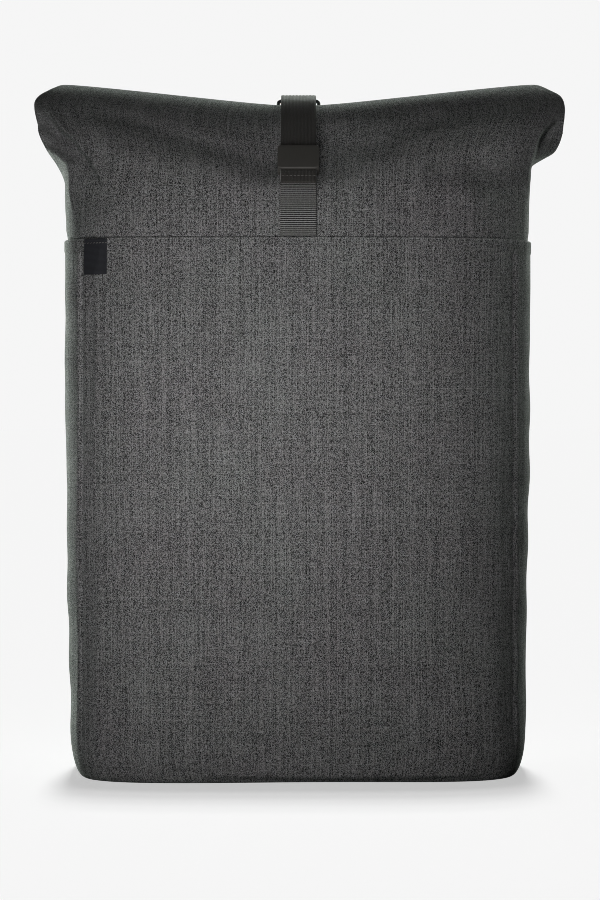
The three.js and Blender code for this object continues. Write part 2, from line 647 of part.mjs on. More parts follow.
// The lower webbing: sewn to the back of the body, up behind the adjuster, over its middle bar and down
// again.
function lowerWebbingLine() {
  const { place } = adjusterFrame();
  const { middleBar, thickness, height } = ADJUSTER;
  // The back curves away towards the side, so the webbing touches it first with its inner edge.
  const sewn = ({ x, z }) => ({ x, y: backOfBody(x - WEBBING_WIDTH / 2, z) + 2 * GAP + WEBBING / 2, z });
  const fold = foldOverBar(thickness, -1).map(({ ahead, out }) => place(middleBar + ahead, out));
  const lift = thickness / 2 + GAP + WEBBING / 2;
  const tail = [
    place(height / 2 + 2, lift),
    place(height / 2 + TAIL_LENGTH * 0.4, lift + 1),
    place(height / 2 + TAIL_LENGTH * 0.8, lift + 5),
    place(height / 2 + TAIL_LENGTH, lift + 8, 1.9 * WEBBING),
  ];
  const end = [sewn(LOWER_SEWN.bottom), sewn(LOWER_SEWN.top)];
  return [...end, place(height / 2 + 4, -lift), ...fold, ...tail];
}

// The padded strap: sewn flat to the back of the body, then up, over and down to the adjuster.
function shoulderLine() {
  const { x, bottom, top, rise, width, padding } = SHOULDER_SEWN;
  const sewn = (z, lift) => ({ x, y: backOfBody(x, z) + lift + padding / 2, z, width, padding });
  return smoothLine([sewn(bottom, GAP), sewn(top, rise), ...SHOULDER_LINE], 2);
}

// The label hangs from the hem and follows the front of the body.
function labelGeometry() {
  const shares = [0, 0.25, 0.5, 0.75, 1];
  const columns = shares.map((share) => LABEL.x + (share - 0.5) * LABEL.width);
  const rings = shares.map((share) => {
    const z = HEM_Z - 0.5 - share * LABEL.drop;
    const layer = (lift) => columns.map((x) => new THREE.Vector3(x, frontOfBody(x, z) - lift, z));
    return [...layer(GAP + LABEL.thickness), ...layer(GAP).toReversed()];
  });
  const last = 2 * columns.length - 1;
  const strips = shares.slice(1).flatMap((_, i) => [
    [i, i + 1, last - i - 1],
    [i, last - i - 1, last - i],
  ]);
  return loftSolid(rings, strips);
}

function named(name, geometry, material) {
  const mesh = new THREE.Mesh(geometry, material);
  mesh.name = name;
  return mesh;
}

// A strap of the right side mirrored to the left.
function mirrored(line, sign) {
  const flip = new THREE.Vector3(sign, 1, 1);
  const turn = (towards = X_AXIS) => towards.clone().multiply(flip);
  return line.map((place) => ({ ...place, x: sign * place.x, towards: turn(place.towards) }));
}

const backpack = new THREE.Group();
backpack.add(named("body_shell", bodyGeometry(), cloth));
backpack.add(named("roll_collar", collarGeometry(), cloth));
backpack.add(named("closure_strap", strapGeometry(strapLine()), webbing));
backpack.add(named("front_webbing", strapGeometry(frontWebbingLine()), webbing));
backpack.add(named("anchor_webbing", strapGeometry(anchorLine()), webbing));
backpack.add(named("side_label", labelGeometry(), labelCloth));

const ring = named("strap_ring", ringGeometry(), blackMetal);
const ringPlace = ringFrame();
ring.position.set(0, ringPlace.middle.y, ringPlace.middle.z);
ring.rotation.x = Math.atan2(ringPlace.out.y, ringPlace.out.x) - Math.PI / 2;
backpack.add(ring);

const buckle = named("strap_buckle", buckleGeometry(), plastic);
const run = frontRun();
const bucklePlace = run.at(BUCKLE.z).addScaledVector(run.out, STRAP_IN_BUCKLE);
buckle.position.set(0, bucklePlace.x, bucklePlace.y);
buckle.rotation.x = Math.atan2(run.out.y, run.out.x) - Math.PI / 2;
backpack.add(buckle);

const adjusterPlace = adjusterFrame();
for (const [side, sign] of [
  ["left", -1],
  ["right", 1],
]) {
  const flip = new THREE.Vector3(sign, 1, 1);
  const shoulder = strapGeometry(mirrored(shoulderLine(), sign), 12);
  backpack.add(named(`shoulder_strap_${side}`, shoulder, strapCloth));
  backpack.add(named(`adjuster_loop_${side}`, strapGeometry(mirrored(loopLine(), sign)), webbing));
  backpack.add(named(`lower_webbing_${side}`, strapGeometry(mirrored(lowerWebbingLine(), sign)), webbing));

  const adjuster = named(`adjuster_${side}`, adjusterGeometry(), plastic);
  const up = adjusterPlace.along.clone().multiply(flip).negate();
  const out = adjusterPlace.out.clone().multiply(flip);
  const turned = new THREE.Matrix4().makeBasis(up.clone().cross(out), up, out);
  adjuster.position.copy(ADJUSTER_PLACE).multiply(flip);
  adjuster.quaternion.setFromRotationMatrix(turned);
  backpack.add(adjuster);
}

export default backpack;
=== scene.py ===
"""Looks of a roll-top backpack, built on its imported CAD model: cloth, webbing, hardware and stage."""

import math

import bmesh
import bpy
import numpy as np
from mathutils import Matrix, Vector


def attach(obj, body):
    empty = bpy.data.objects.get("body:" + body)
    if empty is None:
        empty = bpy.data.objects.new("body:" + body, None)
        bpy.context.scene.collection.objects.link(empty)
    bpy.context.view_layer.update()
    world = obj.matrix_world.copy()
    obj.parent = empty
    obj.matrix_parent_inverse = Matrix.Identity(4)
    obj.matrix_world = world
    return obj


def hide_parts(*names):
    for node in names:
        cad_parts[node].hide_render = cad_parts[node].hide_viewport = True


bl_info = {
    "name": "Roll-top backpack",
    "version": (1, 0, 0),
    "blender": (4, 5, 0),
    "location": "3D View > Sidebar > Backpack",
    "description": "Builds the cloth, webbing and hardware of a roll-top backpack on its CAD frame",
    "category": "Add Mesh",
}

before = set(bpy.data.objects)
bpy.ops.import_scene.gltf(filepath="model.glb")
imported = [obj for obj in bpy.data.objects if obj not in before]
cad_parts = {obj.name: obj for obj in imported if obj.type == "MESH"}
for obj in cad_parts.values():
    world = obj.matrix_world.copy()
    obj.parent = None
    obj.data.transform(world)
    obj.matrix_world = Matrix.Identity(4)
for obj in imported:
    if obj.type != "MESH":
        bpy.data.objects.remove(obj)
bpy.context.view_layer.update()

MM = 0.001
WEAVE_MAP = "weave"


def table(names, *rows):
    """The columns of a table by their names."""
    return dict(zip(names.split(), np.array(rows, float).T))


# Columns of the cloth's grids along the width and the depth of the bag
ALONG_WIDTH, ALONG_DEPTH = 112, 84

# Sizes of the bag in millimetres and degrees, as in the part's source
CLOTH = 1.6
GAP = 0.4
HEM_Z = 376.5
HEM_LAP = 17.0
BASE_ROUND = 30.0
BASE_SIDE = 8.5
BASE_FRONT = 9.0
WEBBING_WIDTH = 25.0
WEBBING = 1.5
BODY = table(
    "z half_width front back square_left square_right square_back",
    (0, 160.4, 66.3, 60, 4.8, 4.2, 7),
    (110, 162.6, 66, 61, 4.5, 3.1, 7),
    (220, 164.3, 66.5, 61, 4.4, 3.1, 7),
    (320, 165, 62, 60.5, 4.4, 3.1, 6.5),
    (HEM_Z, 165.2, 57, 59, 4.5, 3.2, 6),
)
BODY_WIDEST = 28.0
COLLAR = table(
    "z edge left right front back widest square_left square_right square_back",
    (384, 164, 166.5, 164, 56.5, 58, 28, 4.5, 3.2, 6.0),
    (399, 164.2, 167.6, 163.8, 55.5, 53.5, 24, 4.4, 3.2, 5.4),
    (410, 164.2, 167.3, 163.4, 54.3, 46, 15, 4.2, 3.2, 4.8),
    (420, 164, 166.6, 163.6, 52.3, 35, 3, 4.0, 3.2, 4.3),
    (430, 164.2, 171, 165, 49.3, 21, -11, 3.7, 3.2, 3.8),
    (438, 165.5, 177, 180.5, 45.3, 7, -19, 3.4, 3.1, 3.4),
    (443, 167, 180, 184.5, 41.6, -4.5, -23, 3.2, 3.0, 3.2),
    (449, 169.5, 183, 187, 36, -18, -27, 2.9, 2.8, 2.9),
    (453, 171.5, 184.5, 188, 30.5, -20.3, -25.4, 2.7, 2.7, 2.7),
    (457.7, 174, 185, 188.3, 23.9, -19.1, -21.5, 2.6, 2.6, 2.6),
)
FLAT_Z = 457.7
DOUBLE = 4.8
ROLL = dict(y=4.6, z=469.3, half_depth=14, half_height=32, lean=52, pitch=6.2, start=-60, end=516)
FLARE = table(
    "turn left right inner_left inner_right",
    (-60, 174, 174, 185, 188.3),
    (-45, 179, 179, 185.7, 188.3),
    (-30, 183.5, 184, 186, 188),
    (-15, 185.5, 186.5, 185.5, 186.5),
    (0, 182.5, 184, 182.5, 184),
    (15, 176.5, 177.5, 176.5, 177.5),
    (30, 172, 173, 172, 173),
    (60, 168, 168.5, 168, 168.5),
    (90, 173, 173.5, 173, 173.5),
    (120, 182, 183, 182, 183),
    (150, 185, 187, 185, 187),
    (180, 184.5, 187.3, 184.5, 187.3),
    (210, 183, 186.5, 183, 186.5),
    (240, 181, 185.5, 181, 185.5),
    (270, 176, 180, 176, 180),
    (300, 170, 172, 170, 172),
    (516, 164, 164, 164, 164),
)
SAG_SLOPE = 0.117
SAG_REACH = 175.0
SAG_ROUND = 25.0
SAG_FROM_Z = 392.0
DENTS = ((0, 440, 42, 14, 8), (-149, 412, 17, 22, 8), (147, 408, 19, 21, 8))
DENTS_FADE_Z = 449.0
STRAP_LIFT = 2.2
UNDERLAY_END = 34
STRAP_LEAVES_ROLL = -8
STRAP_MEETS_WALL_Z = 420.0
RUN_FOOT_LIFT = 2.8
TAB_LENGTH = 12.0
BUCKLE = dict(z=428.7, width=29, length=23, corner=3.5, front=1.8, slot=2.3, middle=1.4, rear=1.2)
STRAP_IN_BUCKLE = (BUCKLE["middle"] + BUCKLE["slot"]) / 2
RING = dict(turn=85, lift=4.2, width=31.5, height=12.5, wire=2.5, corner=3.5)
ANCHOR_SEWN = (366.0, 352.0, 338.0)
ANCHOR_MEETS_WALL_Z = 402.0
ANCHOR_LAP = 24.0
LABEL = dict(x=-140.3, width=16.4, drop=25)
SHOULDER_SEWN = dict(x=47, bottom=336, top=350, rise=2, width=56, padding=3)
SHOULDER = (
    (48.5, 74, 366, 60, 9),
    (52, 90, 366, 60, 11),
    (57, 102, 346, 60, 11),
    (63, 109, 308, 60, 11),
    (70, 112, 262, 58, 11),
    (78, 107, 212, 54, 11),
    (86, 97, 166, 46, 10),
    (91, 88.5, 137, 34, 5),
)
ADJUSTER = dict(width=33, height=24, thickness=3.2, bar=3, corner=3.5, middle_bar=-1)
ADJUSTER_PLACE = np.array((95.5, 81.5, 116))
LOWER_SEWN = ((120.5, 34), (116, 50))
TAIL_LENGTH = 70.0
LOOP_LENGTH = 13.0
X_AXIS = np.array((1.0, 0.0, 0.0))
SIDES = (("left", -1), ("right", 1))

# Forms that the looks add to the solids, in millimetres
SEAM = dict(x=150.6, groove=0.9, groove_width=0.9, lip=0.5, lip_at=2.6, lip_width=1.5)
SEAM_DIP = dict(depth=1.2, at=-4, width=6, end=1)
TUCK = dict(depth=9.0, height=58, power=1.8, x=35, spread=95)
# The entries after proud paint a highlight into the cloth colour along the crest of the hem's fold, where it
# catches the light: its drop below the hem, its reach, its gain and how pale it gets.
HEM_FOLD = dict(proud=0.5, painted_highlight_drop=0.55, painted_highlight_reach=0.9, painted_highlight_gain=1.6, painted_highlight_pale=1.5)
HEM_LEVELS = HEM_Z - np.array([9.2, 8.6, 8.0, 7.2, 5.5, 4.0, 2.5])
INSIDE_LEVELS = np.array([HEM_Z - 4, 340, 280, 200, 120, 60, BASE_ROUND, 12, 5, 2])
FOOT_ROWS, WALL_ROWS, FOLD_ROWS = 13, 102, 9
WALL_END_Z = HEM_Z - 10
WEAVE_AT_Z = 200
COLLAR_WEAVE_FROM = 400
DOME_Z = 384.0
DOME_ROWS = 88
HOLLOW_LEVELS = np.array([440, 438, 434, 430, 420, 410, 399, DOME_Z])
SMOOTH_FROM_Z = 434
SMOOTH_TO_TURN = -4
LEFT_RIDGE = (
    (-175, 467),
    (-163.7, 452),
    (-154.6, 445),
    (-151, 439),
    (-145, 433),
    (-140, 423.5),
    (-135, 415),
    (-130, 408),
    (-124, 400),
)
RIGHT_EDGE = ((178, 459), (171, 453), (167, 447.2), (165, 441), (163, 434), (161.5, 427), (161, 420))
POCKET = dict(depth=15, edge=2.5, reach=24, bottom=(410, 438), top=(448, 470))
FLAP = dict(depth=5, deeper=8, deeper_from=426, deeper_over=30, edge=3, bottom=(422, 430), top=(448, 462))
# Lines of points on the collar's front, with the height of the fold along each and its spread
COLLAR_FOLDS = (
    (LEFT_RIDGE, 2.6, 3.2),
    (((-172, 436), (-164, 432), (-160.5, 429)), 6.0, 4.0),
    (((-160.5, 430), (-160, 423.5), (-160.5, 410), (-158, 398)), 2.0, 1.8),
    (RIGHT_EDGE, 1.0, 1.5),
    (((-46, 438), (-68, 443), (-110, 457), (-138, 464)), -2.6, 7.0),
    (((-46, 423), (-89, 430), (-125, 436)), 1.6, 8.0),
    (((32, 441), (50, 443), (72, 448), (93, 461)), -2.6, 7.0),
    (((48, 426), (91, 431), (114, 424)), 1.6, 8.0),
    (((65, 446), (120, 456), (171, 467)), 1.4, 6.0),
    (((100, 425), (122, 424), (150, 418)), -5.0, 10.0),
    (((118, 405), (155, 400)), 3.0, 8.0),
)
HEMMED = 1.9 * WEBBING
RIBS = 10
RIB_HEIGHT = 0.11
RIB_POINTS = 81
WEBBING_STEP = 0.8
STITCH = dict(length=2.0, radius=0.3, sunk=0.12)
CROSS_RIBS = dict(height=0.18, points=25, step=0.2, foot=0.4)
LABEL_FORM = dict(below_hem=0.5, thickness=0.7, clear=0.3, lean=0.4, curl=0.5, curl_from=14, wave=0.25)
LABEL_STITCH = dict(count=9, left=1.2, right=0.8, below_hem=3.6, out=1.75, slant=0.35)
LABEL_STITCH.update(length=1.7, radius=0.26)
PAD = dict(points=72, step=2.2, inset=0.8, edge=1.1, wave=0.25)
PAD.update(channel=0.5, channel_at=0.8, channel_width=1.2)
BINDING = dict(lap=5.0, inset=0.9, bulge=0.9, height=1.7, lap_height=1.6, inner_bulge=0.3, tape=0.6)


# Shapes of the cloth


def smoothstep(value, low, high):
    """From 0 to 1 between two values, with a smooth start and end."""
    share = np.clip((np.asarray(value, float) - low) / (high - low), 0, 1)
    return share * share * (3 - 2 * share)


def between(z, bottom, top):
    """1 between two heights, fading out over the pair of heights at the bottom and the pair at the top."""
    return smoothstep(z, *bottom) * smoothstep(-z, -top[1], -top[0])


def hump(value, middle, spread):
    """1 in the middle, falling to 0 on both sides."""
    return np.exp(-(((value - middle) / spread) ** 2))


def column(rows, key, name, at):
    """A column of a table at any place between its rows, on a smooth curve through them."""
    keys, values = rows[key], rows[name]
    at = np.asarray(at, float)
    i = np.clip(np.searchsorted(keys, at) - 1, 0, len(keys) - 2)
    span = keys[i + 1] - keys[i]
    t = np.clip((at - keys[i]) / span, 0, 1)
    slopes = np.empty_like(values)
    slopes[1:-1] = (values[2:] - values[:-2]) / (keys[2:] - keys[:-2])
    slopes[0] = (values[1] - values[0]) / (keys[1] - keys[0])
    slopes[-1] = (values[-1] - values[-2]) / (keys[-1] - keys[-2])
    start = (1 + 2 * t) * (1 - t) ** 2 * values[i] + t * (1 - t) ** 2 * span * slopes[i]
    end = t**2 * (3 - 2 * t) * values[i + 1] - t**2 * (1 - t) * span * slopes[i + 1]
    return start + end


def section_round(along_width, along_depth):
    """Points on the edge of a square from -1 to 1, closer together near its corners."""

    def places(count):
        t = 2 * np.arange(count) / count - 1
        return 0.45 * t + 0.55 * np.sin(np.pi / 2 * t)

    wide, deep = places(along_width), places(along_depth)
    u = np.concatenate([wide, np.ones_like(deep), -wide, -np.ones_like(deep)])
    v = np.concatenate([-np.ones_like(wide), deep, np.ones_like(wide), -deep])
    return u, v


def on_section(u, v, half_width, front, back, widest, squares):
    """The round pulled in to superellipses that meet at the widest place: x, y and the share through."""
    left, right, rear = squares
    square = np.where(v < 0, np.where(u < 0, left, right), rear)
    pull = (np.abs(u) ** square + np.abs(v) ** square) ** (-1 / square)
    through = v * pull
    return u * pull * half_width, widest + through * np.where(v < 0, front + widest, back - widest), through


def body_section(z, inset=0.0):
    """Half width, front, back, widest place and squareness of the body at a height."""
    below = np.maximum(0, BASE_ROUND - np.asarray(z, float))
    rounded = 1 - np.sqrt(1 - (below / BASE_ROUND) ** 2)

    def at(name):
        return column(BODY, "z", name, z)

    half_width = at("half_width") - inset - BASE_SIDE * rounded
    front = at("front") - inset - BASE_FRONT * rounded
    back = at("back") - inset - BASE_FRONT * rounded
    return half_width, front, back, BODY_WIDEST, (at("square_left"), at("square_right"), at("square_back"))


def body_rings(u, v, z, inset, lift):
    """Rings of the body: one row for each height, inset and lift."""
    z, inset, lift = (np.asarray(value, float)[:, None] for value in (z, inset, lift))
    x, y, _ = on_section(u[None], v[None], *body_section(z, inset))
    return np.stack(np.broadcast_arrays(x, y, z + lift), axis=-1)


def front_of_body(x, z):
    """The y of the body's front at a place on it."""
    half_width, front, _, widest, (left, right, _) = body_section(z)
    square = np.where(np.asarray(x) < 0, left, right)
    return widest - (front + widest) * (1 - (np.abs(x) / half_width) ** square) ** (1 / square)


def back_of_body(x, z):
    """The y of the body's back at a place on it."""
    half_width, _, back, widest, (_, _, square) = body_section(z)
    return widest + (back - widest) * (1 - (np.abs(x) / half_width) ** square) ** (1 / square)


def sag_at(x, z=FLAT_Z):
    """How far the strap has pulled the collar down."""
    full = SAG_SLOPE * (math.hypot(SAG_REACH, SAG_ROUND) - np.hypot(x, SAG_ROUND))
    return np.maximum(0, full) * smoothstep(z, SAG_FROM_Z, FLAT_Z)


def dent_at(x, z):
    """How far the front of the collar is pressed in."""
    dents = sum(
        depth * hump(x, at_x, wide) * hump(z, at_z, high)
        for at_x, at_z, wide, high, depth in DENTS
    )
    return dents * (1 - smoothstep(z, DENTS_FADE_Z, FLAT_Z))


def wall_reach(front, back, through):
    """How far a wall reaches sideways: one value at the front, another at the back."""
    return front + (back - front) * smoothstep(through, -0.6, 0.4)


def dome_rings(u, v, z, inset):
    """Rings of the collar between the hem and the roll."""
    z, inset = (np.asarray(value, float)[:, None] for value in (z, inset))

    def at(name):
        return column(COLLAR, "z", name, z)

    squares = at("square_left"), at("square_right"), at("square_back")
    front, back = at("front") - inset, at("back") - inset
    across, y, through = on_section(u[None], v[None], 1.0, front, back, at("widest"), squares)
    side = np.where(across < 0, at("left"), at("right"))
    x = across * (wall_reach(at("edge"), side, through) - inset)
    dent = dent_at(x, z) * smoothstep(-through, 0, 0.6)
    return np.stack(np.broadcast_arrays(x, y + dent, z - sag_at(x, z)), axis=-1)


def front_of_collar(z):
    """The y of the collar's front in the bag's middle."""
    return dent_at(0, z) - column(COLLAR, "z", "front", z)


def roll_point(turn, x, lift):
    """A point of the roll's path at an angle of turn, moved out of the roll by a lift, as y and z."""
    shrink = ROLL["pitch"] * (turn - ROLL["start"]) / 360
    depth, height = ROLL["half_depth"] - shrink, ROLL["half_height"] - shrink
    around, lean = np.radians(turn), math.radians(ROLL["lean"])
    out_back, out_up = -height * np.cos(around), depth * np.sin(around)
    size = np.hypot(out_back, out_up)
    back = -depth * np.cos(around) + lift * out_back / size
    up = height * np.sin(around) + lift * out_up / size
    y = ROLL["y"] + back * math.cos(lean) + up * math.sin(lean)
    z = ROLL["z"] - back * math.sin(lean) + up * math.cos(lean) - sag_at(x)
    return y, z


def roll_rings(u, v, turn):
    """Rings of the roll, where the collar's two walls lie together, the front wall outside."""
    turn = np.asarray(turn, float)[:, None]

    def at(name):
        return column(FLARE, "turn", name, turn)

    squares = [COLLAR[name][-1] for name in ("square_left", "square_right", "square_back")]
    across, y, through = on_section(u[None], v[None], 1.0, DOUBLE / 2, DOUBLE / 2, 0.0, squares)
    left = wall_reach(at("left"), at("inner_left"), through)
    right = wall_reach(at("right"), at("inner_right"), through)
    x = across * np.where(across < 0, left, right)
    place_y, place_z = roll_point(turn, x, -y)
    return np.stack(np.broadcast_arrays(x, place_y, place_z), axis=-1)


def ripple(a, b, seed):
    """A smooth uneven field between about -1 and 1 over two coordinates in millimetres."""
    chance = np.random.default_rng(seed)
    total = 0.0
    for _ in range(7):
        angle = chance.uniform(0, np.pi)
        length = chance.uniform(38, 120)
        phase = chance.uniform(0, 2 * np.pi)
        total = total + np.sin(2 * np.pi * (a * np.cos(angle) + b * np.sin(angle)) / length + phase)
    return total / 4


def away_from(x, z, line):
    """The distance of places from a line of points."""
    best = np.full(np.shape(x), np.inf)
    for (ax, az), (bx, bz) in zip(line, line[1:]):
        t = ((x - ax) * (bx - ax) + (z - az) * (bz - az)) / ((bx - ax) ** 2 + (bz - az) ** 2)
        t = np.clip(t, 0, 1)
        best = np.minimum(best, np.hypot(x - ax - t * (bx - ax), z - az - t * (bz - az)))
    return best


def side_of(x, z, line):
    """The distance of places from a line of points that runs down, below zero left of it."""
    level, place = np.array(line)[::-1].T[::-1]
    return away_from(x, z, line) * np.sign(x - np.interp(z, level, place))


def grid_normals(points):
    """Normals of a closed loft's grid, one for each point."""
    along = np.gradient(points, axis=0)
    around = (np.roll(points, -1, axis=1) - np.roll(points, 1, axis=1)) / 2
    normal = np.cross(around, along)
    return normal / np.maximum(np.linalg.norm(normal, axis=-1, keepdims=True), 1e-9)


def path_length(points):
    """The distance along a line of points at each of them."""
    steps = np.linalg.norm(np.diff(points, axis=0), axis=-1)
    return np.concatenate([[0], np.cumsum(steps)])


# Meshes and pieces


def quads(grid):
    """The values at the four corners of each cell of a grid."""
    corners = (grid[:-1, :-1], grid[:-1, 1:], grid[1:, 1:], grid[1:, :-1])
    return np.stack(corners, axis=2).reshape(-1, 4, *grid.shape[2:]).tolist()


class Surface:
    """Points, faces and weave coordinates of one mesh, gathered in millimetres."""

    def __init__(self):
        self.points, self.faces, self.weave = [], [], []
        self.count = 0

    def tube(self, points, across, along, ends):
        """A closed grid of faces, with a face over its first and its last ring.

        Across and along are its places on the weave, with one more column than there are points. Ends has
        the rings laid flat, for the places of the two faces.
        """
        rows, columns = points.shape[:2]
        index = self.count + np.arange(rows * columns).reshape(rows, columns)
        self.points.append(points.reshape(-1, 3))
        self.count += rows * columns
        joined = np.concatenate([index, index[:, :1]], axis=1)
        places = np.stack(np.broadcast_arrays(across, along), axis=-1)
        self.faces += quads(joined) + index[[0, -1]].tolist()
        self.weave += quads(places) + ends[[0, -1]].tolist()
        return self

    def mesh(self, name):
        """The mesh in metres, smooth, with its faces turned outward."""
        mesh = bpy.data.meshes.new(name)
        points = np.concatenate(self.points) * MM
        mesh.from_pydata(points.tolist(), [], self.faces)
        layer = mesh.uv_layers.new(name=WEAVE_MAP)
        corners = np.array([place for face in self.weave for place in face]) * MM
        layer.uv.foreach_set("vector", corners.astype(np.float32).ravel())
        shade_smooth(mesh)
        turned_outward(mesh)
        mesh.update()
        return mesh


def shade_smooth(mesh):
    """Shades all faces of a mesh smooth."""
    mesh.polygons.foreach_set("use_smooth", np.ones(len(mesh.polygons), bool))


def turned_outward(mesh, join_within=0.0):
    """Turns all faces of a mesh outward, and first joins points that are closer than a distance."""
    work = bmesh.new()
    work.from_mesh(mesh)
    if join_within:
        bmesh.ops.remove_doubles(work, verts=work.verts, dist=join_within)
    bmesh.ops.recalc_face_normals(work, faces=work.faces)
    work.to_mesh(mesh)
    work.free()


def add_piece(name, mesh, finish, slot, *nodes):
    """One piece of the bag with its finish, riding on the body in the place of its CAD nodes."""
    shape = bpy.data.objects.new(name, mesh)
    bpy.context.scene.collection.objects.link(shape)
    mesh.materials.clear()
    mesh.materials.append(finish)
    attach(shape, "root")
    if nodes:
        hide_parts(*nodes)
    return shape


# Straps and webbing


def unit(vector):
    """A vector of the same direction and length 1, or one for each row."""
    vector = np.asarray(vector, float)
    return vector / np.linalg.norm(vector, axis=-1, keepdims=True)


class Path:
    """A smooth line with the direction across and through a strap at each of its points."""

    def __init__(self, places, step):
        """Places are dicts with x, y and z, and where it isn't plain webbing, width, padding and towards."""
        points = np.array([(p["x"], p["y"], p["z"]) for p in places], float)
        widths = np.array([p.get("width", WEBBING_WIDTH) for p in places], float)
        paddings = np.array([p.get("padding") or WEBBING for p in places], float)
        towards = np.array([p.get("towards", X_AXIS) for p in places], float)
        keys = path_length(points)
        count = max(2, int(round(keys[-1] / step)) + 1)
        fine = np.linspace(0, keys[-1], 8 * count)
        rows = {"key": keys, **{str(i): points[:, i] for i in range(3)}}
        line = np.stack([column(rows, "key", str(i), fine) for i in range(3)], axis=-1)
        length = path_length(line)
        even = np.interp(np.linspace(0, length[-1], count), length, fine)
        self.points = np.stack([column(rows, "key", str(i), even) for i in range(3)], axis=-1)
        self.s = path_length(self.points)
        self.width = np.interp(even, keys, widths)
        self.padding = np.interp(even, keys, paddings)
        side = np.stack([np.interp(even, keys, towards[:, i]) for i in range(3)], axis=-1)
        self.along = unit(np.gradient(self.points, axis=0))
        self.across = unit(side - np.sum(side * self.along, axis=-1, keepdims=True) * self.along)
        self.through = np.cross(self.along, self.across)

    def place(self, across, through):
        """Points beside the line. Both offsets have one row for each point of the line."""
        return (
            self.points[:, None]
            + across[..., None] * self.across[:, None]
            + through[..., None] * self.through[:, None]
        )

    def at(self, s):
        """The point, along, across and through at a distance along the line."""
        i = int(np.argmin(np.abs(self.s - s)))
        return self.points[i], self.along[i], self.across[i], self.through[i]


def webbing_section(path, points_across, rise):
    """The closed section of flat webbing with round edges: offsets across and through, and places across."""
    edge = np.radians(np.linspace(-60, 60, 3))
    flat = np.linspace(-1, 1, points_across)
    half = path.width[:, None] / 2
    thick = path.padding[:, None] / 2
    side = half - 0.7 * thick
    top = side * flat
    right = side + 0.7 * thick * np.cos(edge)[::-1]
    across = np.concatenate([top, right, -top, -right], axis=1)
    lift = thick * np.sin(edge)[::-1]
    level = np.broadcast_to(thick, top.shape)
    through = np.concatenate([level + rise, lift, -level - rise, -lift], axis=1)
    return across, through, np.concatenate([across, across[:, :1]], axis=1)


def swept_mesh(name, path, across, through, places):
    """A closed section carried along a path."""
    ends = np.stack([across, path.s[:, None] + through], axis=-1)
    return Surface().tube(path.place(across, through), places, path.s[:, None], ends).mesh(name)


def webbing_mesh(name, path, points_across, rise):
    """Webbing along a path. Rise gives the height of its ribs from the place across and along, in mm."""
    flat = np.linspace(-0.5, 0.5, points_across)[None] * path.width[:, None]
    return swept_mesh(name, path, *webbing_section(path, points_across, rise(flat, path.s[:, None])))


def strap_mesh(name, path):
    """Webbing with fine ribs lengthwise."""

    def rise(across, along):
        return RIB_HEIGHT * np.cos(2 * np.pi * RIBS * (across / WEBBING_WIDTH + 0.5 / RIBS))

    return webbing_mesh(name, path, RIB_POINTS, rise)


def ribbed_mesh(name, path, pitch):
    """Webbing with ribs across it."""

    def rise(across, along):
        return CROSS_RIBS["height"] * np.cos(2 * np.pi * along / pitch) + 0 * across

    return webbing_mesh(name, path, CROSS_RIBS["points"], rise)


def stitches_mesh(name, middles, ways, outs, length, radius):
    """Short round threads that dip into the cloth at both ends."""
    surface = Surface()
    sides, rows = 8, 9
    turns = np.linspace(0, 2 * np.pi, sides, endpoint=False)
    girth = np.linspace(0, 2 * np.pi * radius, sides + 1)
    shares = np.linspace(-1, 1, rows)
    swell = np.sqrt(np.maximum(1 - shares**2, 0.03))
    for middle, way, out in zip(middles, ways, outs):
        side = np.cross(way, out)
        centre = middle + np.outer(shares * length / 2, way) - np.outer(0.8 * radius * shares**4, out)
        round_out = np.cos(turns)[:, None] * out + np.sin(turns)[:, None] * side
        points = centre[:, None] + radius * swell[:, None, None] * round_out[None]
        surface.tube(points, girth[None], shares[:, None] * length / 2, np.zeros((2, sides, 2)))
    return surface.mesh(name)


def fold_over_bar(thickness, ahead):
    """Webbing folded half way round a bar, as places ahead of the bar and out from it."""
    radius = thickness / 2 + GAP + WEBBING / 2
    turns = np.radians(np.linspace(-90, 90, 13))
    return [(ahead * radius * math.cos(a), radius * math.sin(a)) for a in turns]


def on_middle(places):
    """Places in the bag's middle, from pairs of y and z."""
    return [dict(x=0, y=y, z=z) for y, z in places]


def on_roll(turn, lift):
    """A place above the outside of the roll, in the bag's middle."""
    y, z = roll_point(turn, 0.0, DOUBLE / 2 + lift)
    return dict(x=0, y=float(y), z=float(z))


def ring_frame():
    """The ring's middle, and its directions down and out, as y and z."""
    middle, foot = on_roll(RING["turn"], RING["lift"]), on_roll(RING["turn"], 0)
    out = unit((middle["y"] - foot["y"], middle["z"] - foot["z"]))
    return np.array((middle["y"], middle["z"])), np.array((out[1], -out[0])), out


def fold_over_ring(bar):
    """Webbing folded over the ring's upper bar (-1) or lower bar (1)."""
    middle, down, out = ring_frame()
    bar_at = bar * (RING["height"] - RING["wire"]) / 2
    return on_middle(middle + (bar_at + a) * down + o * out for a, o in fold_over_bar(RING["wire"], -bar))


def front_run():
    """The straight run of the strap at the front: a point on it, and its directions down and out."""
    wall_z = STRAP_MEETS_WALL_Z - sag_at(0, STRAP_MEETS_WALL_Z)
    wall = np.array((front_of_collar(STRAP_MEETS_WALL_Z) - RUN_FOOT_LIFT, wall_z), float)
    roll = on_roll(STRAP_LEAVES_ROLL, STRAP_LIFT)
    down = unit(wall - (roll["y"], roll["z"]))
    return wall, down, np.array((down[1], -down[0]))


def on_run(z):
    """The y and z of the strap's straight run at a height."""
    wall, down, _ = front_run()
    return wall + down * (z - wall[1]) / down[1]


